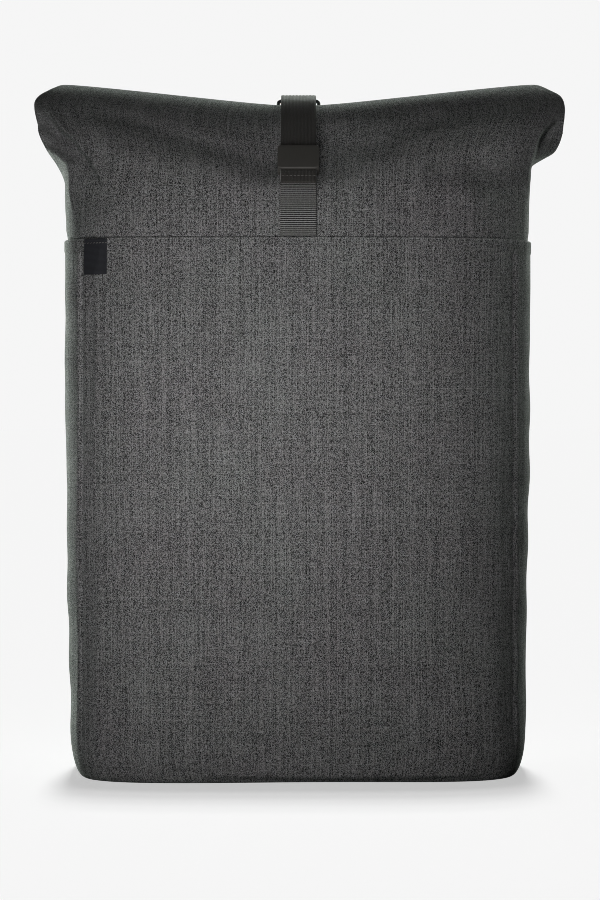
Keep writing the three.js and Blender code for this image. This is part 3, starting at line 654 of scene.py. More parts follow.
def strap_places():
    """The closing strap: under itself, round the ring, over the roll and through the buckle to its end."""
    _, down, out = front_run()
    underlay = [on_roll(turn, STRAP_LIFT) for turn in (UNDERLAY_END, 46, 58, 68)]
    lifts = ((68, 7.4), (58, 6.1), (46, 5.0), (UNDERLAY_END, 4.3), (20, 3.3), (5, 2.5))
    overlay = [on_roll(turn, lift) for turn, lift in (*lifts, (STRAP_LEAVES_ROLL, STRAP_LIFT))]
    buckle = on_run(BUCKLE["z"]) + 2 * STRAP_IN_BUCKLE * out
    half = BUCKLE["length"] / 2
    plain = on_middle(buckle + below * down for below in (-half - 4, -half + 4, half - 2, half + 1.5))
    hemmed = on_middle(buckle + (half + below) * down for below in (2.2, 7, TAB_LENGTH))
    run = plain + [dict(place, padding=HEMMED) for place in hemmed]
    return underlay + fold_over_ring(-1) + overlay + run


def front_webbing_places():
    """The ribbed webbing: from the hem up the collar's front and into the buckle."""
    _, down, _ = front_run()
    levels = (HEM_Z + CROSS_RIBS["foot"], 386, 393, 400, 405, 410, 415, STRAP_MEETS_WALL_Z)
    wall = [(float(front_of_collar(z)) - STRAP_LIFT, float(z - sag_at(0, z))) for z in levels]
    return on_middle([*wall, on_run(BUCKLE["z"]) + down * (2 - BUCKLE["length"] / 2)])


def anchor_places():
    """The webbing behind: round the ring, down the collar's back, over the hem and down the body."""

    def on_wall(z):
        return np.array((column(COLLAR, "z", "back", z) + STRAP_LIFT, z - sag_at(0, z)), float)

    fold = fold_over_ring(1)[::-1]
    top = np.array((fold[-1]["y"], fold[-1]["z"])) + 4 * ring_frame()[1]
    wall = on_wall(ANCHOR_MEETS_WALL_Z)
    down = unit(wall - top)
    out = np.array((-down[1], down[0]))
    lap = top + ANCHOR_LAP * down + (WEBBING + 2 * GAP) * out
    folded = [lap, top + 3 * down + (2 * WEBBING + GAP) * out]
    over_hem = np.array((back_of_body(0, HEM_Z) + GAP + WEBBING, HEM_Z + 3))
    sewn = [np.array((back_of_body(0, z) + GAP + WEBBING / 2, z)) for z in ANCHOR_SEWN]
    return on_middle(folded) + fold + on_middle((top, wall, on_wall(393), over_hem, *sewn))


def adjuster_frame():
    """Along the webbing to its sewn end, across it, and out from the back, at the right adjuster."""
    x, z = LOWER_SEWN[1]
    sewn = np.array((x, back_of_body(x, z) + GAP + WEBBING / 2, z))
    along = unit(sewn - ADJUSTER_PLACE)
    across = unit(X_AXIS - X_AXIS.dot(along) * along)
    return along, across, -np.cross(along, across)


def beside_adjuster(below, outwards, padding=None):
    """A place below the right adjuster's middle and out from it."""
    along, across, out = adjuster_frame()
    x, y, z = ADJUSTER_PLACE + below * along + outwards * out
    return dict(x=x, y=y, z=z, padding=padding, towards=across)


def loop_places():
    """The loop that holds an adjuster: on both faces of the padded strap's end and round the top bar."""
    top_bar = (ADJUSTER["bar"] - ADJUSTER["height"]) / 2
    fold = [beside_adjuster(top_bar + a, o) for a, o in fold_over_bar(ADJUSTER["thickness"], 1)]
    on_pad = SHOULDER[-1][4] / 2 + 2 * GAP + WEBBING
    sewn = (top_bar - LOOP_LENGTH - 8, top_bar - 8)
    inner = [beside_adjuster(below, -on_pad) for below in sewn]
    return inner + fold + [beside_adjuster(below, on_pad) for below in sewn[::-1]]


def lower_webbing_places():
    """The lower webbing: from its sewn end, round the adjuster's middle bar and down to its loose end."""
    thickness, height = ADJUSTER["thickness"], ADJUSTER["height"]
    fold = [beside_adjuster(ADJUSTER["middle_bar"] + a, o) for a, o in fold_over_bar(thickness, -1)]
    lift = thickness / 2 + GAP + WEBBING / 2
    tail = [
        beside_adjuster(height / 2 + 2, lift),
        beside_adjuster(height / 2 + TAIL_LENGTH * 0.4, lift + 1),
        beside_adjuster(height / 2 + TAIL_LENGTH * 0.8, lift + 5),
        beside_adjuster(height / 2 + TAIL_LENGTH * 0.82, lift + 5.2, HEMMED),
        beside_adjuster(height / 2 + TAIL_LENGTH, lift + 8, HEMMED),
    ]
    sewn = []
    for x, z in LOWER_SEWN:
        y = float(back_of_body(x - WEBBING_WIDTH / 2, z)) + 2 * GAP + WEBBING / 2
        sewn.append(dict(x=x, y=y, z=z))
    return sewn + [beside_adjuster(height / 2 + 4, -lift)] + fold + tail


def shoulder_places():
    """The right padded strap, from its sewn end down to the adjuster."""
    x, width, padding = SHOULDER_SEWN["x"], SHOULDER_SEWN["width"], SHOULDER_SEWN["padding"]
    places = []
    for z, lift in ((SHOULDER_SEWN["bottom"], GAP), (SHOULDER_SEWN["top"], SHOULDER_SEWN["rise"])):
        y = float(back_of_body(x, z)) + lift + padding / 2
        places.append(dict(x=x, y=y, z=z, width=width, padding=padding))
    return places + [dict(zip(("x", "y", "z", "width", "padding"), row)) for row in SHOULDER]


def mirrored(places, sign):
    """The places of the right side (1), or the same on the left (-1)."""
    flip = np.array((sign, 1, 1))
    return [{**p, "x": sign * p["x"], "towards": p.get("towards", X_AXIS) * flip} for p in places]


# Plates and wire


def curve_mesh(name, loops, **settings):
    """The mesh of a curve of closed loops in its own XY plane, made with the curve's settings."""
    curve = bpy.data.curves.new(name, "CURVE")
    for setting, value in settings.items():
        setattr(curve, setting, value)
    for loop in loops:
        spline = curve.splines.new("POLY")
        spline.points.add(len(loop) - 1)
        for point, (x, y) in zip(spline.points, loop):
            point.co = (x * MM, y * MM, 0, 1)
        spline.use_cyclic_u = True
    shape = bpy.data.objects.new(name, curve)
    bpy.context.scene.collection.objects.link(shape)
    bpy.context.view_layer.update()
    mesh = bpy.data.meshes.new_from_object(shape.evaluated_get(bpy.context.evaluated_depsgraph_get()))
    bpy.data.objects.remove(shape)
    bpy.data.curves.remove(curve)
    mesh.name = name
    shade_smooth(mesh)
    return mesh


def plate_mesh(name, outline, holes, thickness, edge):
    """A flat plate with rounded edges and holes, in its own XY plane about its middle."""
    mesh = curve_mesh(
        name,
        (outline, *holes),
        dimensions="2D",
        fill_mode="BOTH",
        extrude=(thickness / 2 - edge) * MM,
        bevel_depth=edge * MM,
        bevel_resolution=3,
        offset=-edge * MM,
    )
    turned_outward(mesh, join_within=1e-6)
    mesh.set_sharp_from_angle(angle=math.radians(35))
    return mesh


def rounded_rectangle(width, height, corner, middle_y=0.0, steps=6):
    """The outline of a rectangle with round corners, about a middle on the Y axis."""
    points = []
    for x, y, start in ((1, -1, -90), (1, 1, 0), (-1, 1, 90), (-1, -1, 180)):
        corner_x = x * (width / 2 - corner)
        corner_y = middle_y + y * (height / 2 - corner)
        for a in np.radians(np.linspace(start, start + 90, steps)):
            points.append((corner_x + corner * math.cos(a), corner_y + corner * math.sin(a)))
    return points


def wire_mesh(name, loop, radius):
    """A closed round wire along a loop of points in its own XY plane."""
    return curve_mesh(name, (loop,), dimensions="3D", bevel_depth=radius * MM, bevel_resolution=5)


def moved(mesh, x_way, y_way, z_way, place):
    """Turns a mesh so that its own axes lie along the given ones, and puts it at a place in millimetres."""
    turn = Matrix((x_way, y_way, z_way)).transposed().to_4x4()
    mesh.transform(Matrix.Translation(Vector(place) * MM) @ turn)
    return mesh


def in_middle(mesh, middle, down, out):
    """Puts a flat mesh in the bag's middle, with its own Y axis up and its own Z axis out."""
    return moved(mesh, (1, 0, 0), (0, -down[0], -down[1]), (0, out[0], out[1]), (0, *middle))


# Finishes


class Value:
    """A shader socket that Python's operators work on. Each expression adds its Math node."""

    def __init__(self, finish, socket):
        self.finish = finish
        self.socket = socket

    def math(self, operation, *others, clamp=False):
        return self.finish.math(operation, self, *others, clamp=clamp)

    def __add__(self, other):
        return self.math("ADD", other)

    def __sub__(self, other):
        return self.math("SUBTRACT", other)

    def __rsub__(self, other):
        return self.finish.math("SUBTRACT", other, self)

    def __mul__(self, other):
        return self.math("MULTIPLY", other)

    def __truediv__(self, other):
        return self.math("DIVIDE", other)

    def __rtruediv__(self, other):
        return self.finish.math("DIVIDE", other, self)

    def __mod__(self, other):
        return self.math("FLOORED_MODULO", other)

    def __abs__(self):
        return self.math("ABSOLUTE")

    def __floor__(self):
        return self.math("FLOOR")

    __radd__ = __add__
    __rmul__ = __mul__

    def wave(self):
        """From 0 to 1 and back over each whole number."""
        return self.math("MULTIPLY", 2 * math.pi).math("COSINE") * -0.5 + 0.5

    def clamped(self):
        return self.math("MULTIPLY", 1.0, clamp=True)


class Finish:
    """The nodes of one material, or of the backdrop."""

    def __init__(self, owner):
        self.owner = owner
        owner.use_nodes = True
        self.tree = owner.node_tree
        self.tree.nodes.clear()

    def node(self, kind, settings, sockets, output=0):
        """Adds a node: its settings first, then the values or links of its sockets."""
        node = self.tree.nodes.new(kind)
        for name, value in settings.items():
            setattr(node, name, value)
        for key, value in sockets.items():
            if isinstance(value, Value):
                self.tree.links.new(value.socket, node.inputs[key])
            else:
                node.inputs[key].default_value = value
        return Value(self, node.outputs[output]) if node.outputs else None

    def math(self, operation, *values, clamp=False):
        settings = {"operation": operation, "use_clamp": clamp}
        return self.node("ShaderNodeMath", settings, dict(enumerate(values)))

    def weave(self):
        """The place on the cloth in metres: across it and along it."""
        place = self.node("ShaderNodeUVMap", {"uv_map": WEAVE_MAP}, {})
        across = self.node("ShaderNodeSeparateXYZ", {}, {0: place}, 0)
        along = self.node("ShaderNodeSeparateXYZ", {}, {0: place}, 1)
        return across, along

    def solid_place(self):
        """The place in space in metres."""
        return self.node("ShaderNodeTexCoord", {}, {}, 3)

    def vector(self, x, y, z=0.0):
        return self.node("ShaderNodeCombineXYZ", {}, {0: x, 1: y, 2: z})

    def noise(self, place, scale, detail, flat=True):
        settings = {"noise_dimensions": "2D" if flat else "3D"}
        sockets = {"Vector": place, "Scale": scale, "Detail": detail}
        return self.node("ShaderNodeTexNoise", settings, sockets)

    def speckle(self, x, y):
        """A chance value from 0 to 1 for each pair of whole numbers."""
        return self.node("ShaderNodeTexWhiteNoise", {"noise_dimensions": "2D"}, {0: self.vector(x, y)})

    def blend(self, share, first, second):
        """A colour between two colours."""
        return self.node("ShaderNodeMix", {"data_type": "RGBA"}, {0: share, 6: first, 7: second}, 2)

    def tinted(self, colour, factor):
        """A colour times another."""
        settings = {"data_type": "RGBA", "blend_type": "MULTIPLY"}
        return self.node("ShaderNodeMix", settings, {0: 1.0, 6: colour, 7: factor}, 2)

    def bump(self, height, distance, strength):
        sockets = {"Strength": strength, "Distance": distance, "Height": height}
        return self.node("ShaderNodeBump", {}, sockets)

    def surface(self, **sockets):
        """The shader itself. Names have underscores for spaces."""
        named = {name.replace("_", " "): value for name, value in sockets.items()}
        shader = self.node("ShaderNodeBsdfPrincipled", {}, named)
        self.node("ShaderNodeOutputMaterial", {}, {0: shader})
        return self.owner


# Distances between the lines of the weaves and depths of their relief, in metres
TWILL_PITCH = 0.0011
CORD_PITCH = 0.0009
TAPE_PITCH = 0.0008
THREAD_PITCH = 0.0006
WEAVE_RELIEF = 0.00012
GRAIN_RELIEF = 0.0001
FINE_RELIEF = 0.00005
SLUB_SHARPNESS = 7.0


def rgba(colour, factor=1.0):
    """A colour for a socket, made paler or darker by a factor."""
    return (*(channel * factor for channel in colour), 1.0)


def yarn_tone(finish, slubs, yarn, seed, tone, spread, slub_from, slub_gain):
    """The tone of yarns in one direction: each yarn has its own, and slubs are paler."""
    slub = ((finish.noise(slubs, 1.0, 1.0) - slub_from) * SLUB_SHARPNESS).clamped()
    return tone + (finish.speckle(yarn, seed) - 0.5) * spread + slub * slub_gain


def melange_finish(name, sizes, dark, light):
    """Plain weave of uneven yarns, each with its own tone and paler stretches, with a painted highlight
    along the crest of the hem's fold.
    """
    finish = Finish(bpy.data.materials.new(name))
    across, along = finish.weave()
    across, along = across / sizes.yarn_pitch, along / sizes.yarn_pitch
    warp, weft = math.floor(across), math.floor(along)
    warp_on_top = (warp + weft) % 2.0
    streaks = finish.vector(warp * 3.71, along * 0.0093)
    bars = finish.vector(across * 0.0128, weft * 4.37 + 60.0)
    warp_tone = yarn_tone(finish, streaks, warp, 3.0, tone=0.42, spread=0.4, slub_from=0.58, slub_gain=0.6)
    weft_tone = yarn_tone(finish, bars, weft, 7.0, tone=0.22, spread=0.24, slub_from=0.64, slub_gain=0.4)
    tone = weft_tone + warp_on_top * (warp_tone - weft_tone)
    tone = tone + (finish.speckle(warp, weft) - 0.5) * 1.1
    patches = finish.noise(finish.vector(across, along), 0.0064, 3.0)
    tone = (tone + (patches - 0.5) * 0.08).clamped()
    colour = finish.blend(tone, rgba(dark), rgba(light))
    # Painted highlight: the cloth colour is made paler in a thin band along the crest of the hem's fold,
    # where light catches it.
    level = finish.node("ShaderNodeSeparateXYZ", {}, {0: finish.solid_place()}, 2)
    gain, reach = HEM_FOLD["painted_highlight_gain"], HEM_FOLD["painted_highlight_reach"] * MM
    crest = (gain - abs(level - (HEM_Z - HEM_FOLD["painted_highlight_drop"]) * MM) * (gain / reach)).clamped()
    white = (1, 1, 1)
    colour = finish.tinted(colour, finish.blend(crest, rgba(white), rgba(white, HEM_FOLD["painted_highlight_pale"])))
    hue = finish.blend(patches, (1.03, 0.985, 1.02, 1.0), (0.97, 1.015, 0.985, 1.0))
    warp_round = (across % 1.0).wave()
    weft_round = (along % 1.0).wave()
    height = weft_round + warp_on_top * (warp_round - weft_round) + tone * 0.6
    return finish.surface(
        Base_Color=finish.tinted(colour, hue),
        Roughness=0.95 - tone * 0.12,
        Normal=finish.bump(height, WEAVE_RELIEF, 0.6),
        Specular_IOR_Level=0.25,
        Sheen_Weight=0.12,
        Sheen_Roughness=0.45,
        Sheen_Tint=(0.82, 1.0, 0.86, 1.0),
    )


def twill_finish(name, colour, ribs):
    """Dark webbing with fine twill lines and paler ribs lengthwise."""
    finish = Finish(bpy.data.materials.new(name))
    across, along = finish.weave()
    lines = ((across + along) / TWILL_PITCH).wave()
    counter = ((across - along) / TWILL_PITCH).wave()
    rib = (across * (ribs / (WEBBING_WIDTH * MM)) + 0.5).wave()
    dust = finish.noise(finish.vector(across, along), 900.0, 3.0)
    tone = (0.25 + lines * 0.2 + counter * 0.12 + rib * 0.2 + (dust - 0.5) * 0.5).clamped()
    return finish.surface(
        Base_Color=finish.blend(tone, rgba(colour, 0.62), rgba(colour, 1.9)),
        Roughness=0.88 - tone * 0.16,
        Normal=finish.bump(lines + counter + dust, WEAVE_RELIEF, 0.5),
        Specular_IOR_Level=0.25,
        Sheen_Weight=0.3,
        Sheen_Roughness=0.4,
    )


def ribbed_finish(name, dark, light, pitch):
    """Webbing with ribs across it, with a painted highlight on the ribs and painted shade between them."""
    finish = Finish(bpy.data.materials.new(name))
    across, along = finish.weave()
    # The rib wave paints a highlight on the crests and shade in the valleys; the threads and dust are the
    # webbing's own grain.
    rib = (along / pitch + 0.5).wave()
    threads = (across / CORD_PITCH).wave()
    dust = finish.noise(finish.vector(across, along), 1100.0, 2.0)
    tone = (rib * rib * (0.75 + threads * 0.2) + (dust - 0.5) * 0.45).clamped()
    return finish.surface(
        Base_Color=finish.blend(tone, rgba(dark), rgba(light)),
        Roughness=0.9 - tone * 0.2,
        Normal=finish.bump(threads * rib + dust * 0.5, WEAVE_RELIEF, 0.5),
        Specular_IOR_Level=0.3,
        Sheen_Weight=0.08,
        Sheen_Roughness=0.4,
    )


def moulded_finish(name, colour):
    """Dark plastic with a fine spark grain."""
    finish = Finish(bpy.data.materials.new(name))
    place = finish.solid_place()
    grain = finish.noise(place, 2600.0, 2.0, flat=False)
    patches = finish.noise(place, 120.0, 3.0, flat=False)
    return finish.surface(
        Base_Color=finish.blend((grain + patches) * 0.5, rgba(colour, 0.8), rgba(colour, 1.25)),
        Roughness=0.5 + (patches - 0.5) * 0.25,
        Normal=finish.bump(grain, GRAIN_RELIEF, 0.5),
        Specular_IOR_Level=0.4,
    )


def coated_finish(name, colour):
    """Black coating on metal wire, worn a little smoother in places."""
    finish = Finish(bpy.data.materials.new(name))
    place = finish.solid_place()
    speck = finish.noise(place, 900.0, 3.0, flat=False)
    worn = finish.noise(place, 90.0, 2.0, flat=False)
    return finish.surface(
        Base_Color=finish.blend(speck, rgba(colour, 0.7), rgba(colour, 1.4)),
        Roughness=0.28 + worn * 0.25,
        Normal=finish.bump(speck, FINE_RELIEF, 0.3),
        Specular_IOR_Level=0.5,
    )


def label_finish(name, colour):
    """Tightly woven tape with fine ribs across."""
    finish = Finish(bpy.data.materials.new(name))
    across, along = finish.weave()
    ribs = (along / TAPE_PITCH).wave()
    threads = (across / THREAD_PITCH).wave()
    dust = finish.noise(finish.vector(across, along), 700.0, 3.0)
    tone = (0.3 + ribs * 0.3 + threads * 0.15 + (dust - 0.5) * 0.4).clamped()
    return finish.surface(
        Base_Color=finish.blend(tone, rgba(colour, 0.6), rgba(colour, 1.6)),
        Roughness=0.75 - ribs * 0.15,
        Normal=finish.bump(ribs + threads * 0.5, GRAIN_RELIEF, 0.4),
        Specular_IOR_Level=0.35,
        Sheen_Weight=0.1,
    )


def thread_finish(name, colour):
    """Sewing thread with its twist."""
    finish = Finish(bpy.data.materials.new(name))
    across, along = finish.weave()
    twist = ((across + along) / THREAD_PITCH).wave()
    return finish.surface(
        Base_Color=finish.blend(twist, rgba(colour, 0.7), rgba(colour, 1.2)),
        Roughness=0.7 + twist * 0.1,
        Normal=finish.bump(twist, FINE_RELIEF, 0.5),
    )


def finish_named(name, make, *values):
    """The finish of that name, made the first time it is asked for."""
    return bpy.data.materials.get(name) or make(name, *values)


# What a user would change


def colour_setting(name, description, default):
    """A colour that the panel shows."""
    return bpy.props.FloatVectorProperty(
        name=name, description=description, default=default, subtype="COLOR", size=3, min=0, max=1
    )


def length_setting(name, description, default):
    """A length in metres that the panel shows."""
    return bpy.props.FloatProperty(name=name, description=description, default=default, unit="LENGTH", min=0)


class BackpackCloth(bpy.types.PropertyGroup):
    """Cloth of the body, the collar and the padded straps."""

    yarn_pitch: length_setting("Yarn pitch", "Distance between two yarns of the grey cloth", 0.0004)
    dark_yarn: colour_setting("Dark yarn", "Darkest yarn of the grey cloth", (0.012, 0.012, 0.0125))
    light_yarn: colour_setting("Light yarn", "Palest yarn of the grey cloth", (0.40, 0.40, 0.402))
    ripple: length_setting("Ripple", "Unevenness of the cloth walls", 0.0007)
    strap_dark: colour_setting("Strap dark yarn", "Darkest yarn of the padded straps", (0.008, 0.008, 0.008))
    strap_light: colour_setting("Strap light yarn", "Palest yarn of the padded straps", (0.07, 0.07, 0.07))


class BackpackTrim(bpy.types.PropertyGroup):
    """Webbing, thread, label and hardware."""

    webbing: colour_setting("Webbing", "Dark strap webbing", (0.036, 0.034, 0.031))
    # The two rib colours are painted shade between the ribs of the front webbing and a painted highlight on
    # them.
    rib_painted_shade: colour_setting("Rib valley", "Between the ribs of the front webbing", (0.012, 0.012, 0.012))
    rib_painted_highlight: colour_setting("Rib crest", "On the ribs of the front webbing", (0.42, 0.42, 0.41))
    rib_pitch: length_setting("Rib pitch", "Distance between two ribs of the front webbing", 0.001417)
    label: colour_setting("Label", "Woven label, left bare", (0.018, 0.019, 0.023))
    thread: colour_setting("Thread", "Sewing thread", (0.16, 0.155, 0.15))
    plastic: colour_setting("Plastic", "Buckle and adjusters", (0.078, 0.075, 0.069))
    metal: colour_setting("Metal", "Coated wire ring", (0.008, 0.008, 0.008))


class BackpackStage(bpy.types.PropertyGroup):
    """Camera, floor and lights."""

    distance: length_setting("Distance", "Camera in front of the bag's middle", 2.0)
    height: length_setting("Height", "Camera above the floor", 0.26)
    pitch: bpy.props.FloatProperty(
        name="Pitch", description="Camera tilted down", default=math.radians(0.884), subtype="ANGLE"
    )
    lens: bpy.props.FloatProperty(name="Lens", description="Focal length in mm", default=113.0, min=1)
    pale: colour_setting("Backdrop", "Floor and backdrop", (0.92, 0.92, 0.92))


GROUPS = {"backpack_cloth": BackpackCloth, "backpack_trim": BackpackTrim, "backpack_stage": BackpackStage}


# Operators


def grey_cloth(cloth):
    return finish_named("grey_melange", melange_finish, cloth, cloth.dark_yarn, cloth.light_yarn)


def dark_webbing(trim):
    return finish_named("dark_webbing", twill_finish, trim.webbing, RIBS)


def thread(trim):
    return finish_named("sewing_thread", thread_finish, trim.thread)


# The camera's place to the right of the bag's middle, in metres
CAMERA_X = 0.00106


class AddStage(bpy.types.Operator):
    """Camera, pale floor and backdrop, and soft studio lights"""

    bl_idname = "backpack.add_stage"
    bl_label = "Stage"

    def execute(self, context):
        stage = context.scene.backpack_stage
        scene = context.scene
        scene.view_settings.view_transform = "Standard"
        scene.cycles.filter_width = 0.9
        scene.cycles.denoising_prefilter = "NONE"
        self.add_camera(scene, stage)
        floor = self.add_floor(stage)
        self.add_world(scene, stage)
        only_floor = bpy.data.collections.new("floor_light")
        only_floor.objects.link(floor)
        not_floor = bpy.data.collections.new("bag_light")
        not_floor.objects.link(floor)
        not_floor.collection_objects[0].light_linking.link_state = "EXCLUDE"
        shadow = bpy.data.collections.new("floor_shadow")
        shadow.objects.link(bpy.data.objects["body_cloth"])
        for strength, tilt in ((0.41, -6.5), (0.41, -11.5), (0.35, -15.5), (0.22, -20)):
            self.add_sun(strength, tilt, only_floor, shadow)
        warm, green = (1.0, 0.995, 0.99), (0.93, 1.0, 0.93)
        lights = (
            ("key_low", (-0.13, -0.60, 0.12), (-0.02, 0, 0.20), 0.2, 0.2, 0.385, 100, warm),
            ("key_left", (-0.45, -0.80, 0.20), (0, 0, 0.30), 0.3, 0.3, 0.23, 180, warm),
            ("key_near", (-0.05, -0.45, 0.30), (-0.01, 0, 0.34), 0.2, 0.2, 0.185, 100, warm),
            ("top", (0.12, -0.85, 0.95), (0, 0, 0.30), 0.4, 0.4, 0.5, 180, warm),
            ("rim_left", (-0.85, 1.05, 0.30), (-0.1, 0, 0.25), 0.4, 1.0, 31.0, 180, green),
            ("rim_right", (0.72, 1.22, 0.30), (0.1, 0, 0.25), 0.4, 1.0, 10.5, 180, green),
            ("rim_high", (1.00, 0.50, 0.70), (0.17, 0, 0.48), 0.4, 0.4, 0.27, 40, green),
            ("rim_top", (0.12, 0.76, 0.93), (0, 0, 0.47), 0.8, 0.2, 9.0, 180, green),
        )
        for name, place, target, width, height, power, spread, colour in lights:
            self.add_light(name, place, target, width, height, power, spread, colour, not_floor)
        return {"FINISHED"}

    def add_camera(self, scene, stage):
        data = bpy.data.cameras.new("camera")
        data.lens = stage.lens
        data.sensor_width = 36
        data.sensor_fit = "AUTO"
        camera = bpy.data.objects.new("camera", data)
        camera.location = (CAMERA_X, -stage.distance, stage.height)
        camera.rotation_euler = (math.radians(90) - stage.pitch, 0, 0)
        scene.collection.objects.link(camera)
        scene.camera = camera

    def add_floor(self, stage):
        mesh = bpy.data.meshes.new("floor")
        grid = bmesh.new()
        bmesh.ops.create_grid(grid, x_segments=8, y_segments=8, size=30)
        grid.to_mesh(mesh)
        grid.free()
        finish = Finish(bpy.data.materials.new("pale_floor"))
        grain = finish.noise(finish.solid_place(), 40.0, 2.0, flat=False)
        paint = finish.blend(grain, rgba(stage.pale, 0.995), rgba(stage.pale, 1.005))
        material = finish.surface(
            Base_Color=paint,
            Roughness=0.95 + grain * 0.04,
            Specular_IOR_Level=0.0,
            Emission_Color=rgba(stage.pale),
            Emission_Strength=0.56,
        )
        floor = bpy.data.objects.new("floor", mesh)
        mesh.materials.append(material)
        bpy.context.scene.collection.objects.link(floor)
        floor.visible_diffuse = False
        floor.visible_glossy = False
        return floor

    def add_world(self, scene, stage):
        """A pale backdrop that the camera sees, and a dim surround that lights the bag."""
        world = bpy.data.worlds.new("backdrop")
        scene.world = world
        backdrop = Finish(world)
        seen = backdrop.node("ShaderNodeBackground", {}, {0: rgba(stage.pale)})
        lighting = backdrop.node("ShaderNodeBackground", {}, {0: (0.5, 0.5, 0.5, 1), 1: 0.01})
        direct = backdrop.node("ShaderNodeLightPath", {}, {}, "Is Camera Ray")
        mixed = backdrop.node("ShaderNodeMixShader", {}, {0: direct, 1: lighting, 2: seen})
        backdrop.node("ShaderNodeOutputWorld", {}, {0: mixed})

    def add_sun(self, strength, tilt, receivers, blockers):
        """A sun that only brightens the floor, with the bag's shadow on it."""
        data = bpy.data.lights.new("floor_sun", "SUN")
        data.energy = strength
        data.angle = math.radians(4)
        sun = bpy.data.objects.new("floor_sun", data)
        sun.rotation_euler = (math.radians(tilt), 0, 0)
        bpy.context.scene.collection.objects.link(sun)
        sun.light_linking.receiver_collection = receivers
        sun.light_linking.blocker_collection = blockers

    def add_light(self, name, place, target, width, height, power, spread, colour, receivers):
        """A soft light on the bag."""
        data = bpy.data.lights.new(name, "AREA")
        data.shape = "RECTANGLE"
        data.size, data.size_y = width, height
        data.energy = power
        data.spread = math.radians(spread)
        data.color = colour
        light = bpy.data.objects.new(name, data)
        light.location = place
        light.rotation_euler = (Vector(target) - Vector(place)).to_track_quat("-Z", "Y").to_euler()
        bpy.context.scene.collection.objects.link(light)
        light.light_linking.receiver_collection = receivers


def round_places(u, v):
    """Distance round the body from the middle of its front, for the weave, with one more at the end."""
    ring = body_rings(u, v, [WEAVE_AT_Z], [0], [0])[0]
    places = path_length(np.concatenate([ring, ring[:1]]))
    return places - places[ALONG_WIDTH // 2]


class AddBody(bpy.types.Operator):
    """Hollow cloth body with its corner seams and turned hem"""

    bl_idname = "backpack.add_body"
    bl_label = "Body"

    def execute(self, context):
        cloth = context.scene.backpack_cloth
        u, v = section_round(ALONG_WIDTH, ALONG_DEPTH)
        proud = HEM_FOLD["proud"]
        radius = (CLOTH + proud) / 2
        foot = BASE_ROUND * (1 - np.cos(np.radians(np.linspace(0, 90, FOOT_ROWS))))
        wall = np.linspace(BASE_ROUND, WALL_END_Z, WALL_ROWS)[1:]
        fold = np.radians(np.linspace(0, 180, FOLD_ROWS))
        z = np.concatenate([foot, wall, HEM_LEVELS, HEM_Z - radius + radius * np.sin(fold), INSIDE_LEVELS])
        inset = np.concatenate([
            0 * foot,
            0 * wall,
            -proud * smoothstep(HEM_LEVELS, HEM_LEVELS[0], HEM_LEVELS[3]),
            radius - proud - radius * np.cos(fold),
            0 * INSIDE_LEVELS + CLOTH,
        ])
        lift = np.where(np.arange(len(z)) >= len(z) - 3, CLOTH, 0)
        points = body_rings(u, v, z, inset, lift)
        normals = grid_normals(points)
        outer = len(foot) + len(wall) + len(HEM_LEVELS)
        places = round_places(u, v)
        share = (smoothstep(z, 4, 40) * smoothstep(-z, -HEM_Z + 3, -HEM_Z + 40))[:, None]
        share[outer:] = 0
        swell = 1000 * cloth.ripple * ripple(places[None, :-1], z[:, None], 5) * share
        points = points + normals * (swell + self.seams(points, normals, z))[..., None]
        points[:outer, :, 1] += self.tuck(points[:outer])
        along = path_length(points[:, ALONG_WIDTH // 2])
        mesh = Surface().tube(points, places[None], along[:, None], points[..., :2]).mesh("body_cloth")
        add_piece("body_cloth", mesh, grey_cloth(cloth), "grey_cloth", "body_shell")
        return {"FINISHED"}

    def tuck(self, points):
        """How far the front is drawn in just above the floor, most right of the middle."""
        x, y, z = np.moveaxis(points, -1, 0)
        low = np.clip(1 - z / TUCK["height"], 0, 1) ** TUCK["power"]
        return TUCK["depth"] * low * hump(x, TUCK["x"], TUCK["spread"]) * (y < 0)

    def seams(self, points, normals, z):
        """Grooves where the front panel meets the side panels."""
        x, front = points[..., 0], normals[..., 1] < 0
        beside = np.abs(x) - SEAM["x"]
        groove = SEAM["lip"] * hump(beside, SEAM["lip_at"], SEAM["lip_width"])
        groove = groove - SEAM["groove"] * hump(beside, 0, SEAM["groove_width"])
        dip = SEAM_DIP["depth"] * hump(beside, SEAM_DIP["at"], SEAM_DIP["width"])
        groove = groove - dip * (beside < SEAM_DIP["end"])
        level = smoothstep(z, 14, 40) * (z < HEM_Z - 9.5)
        return groove * front * level[:, None] * (points[..., 1] < -20)


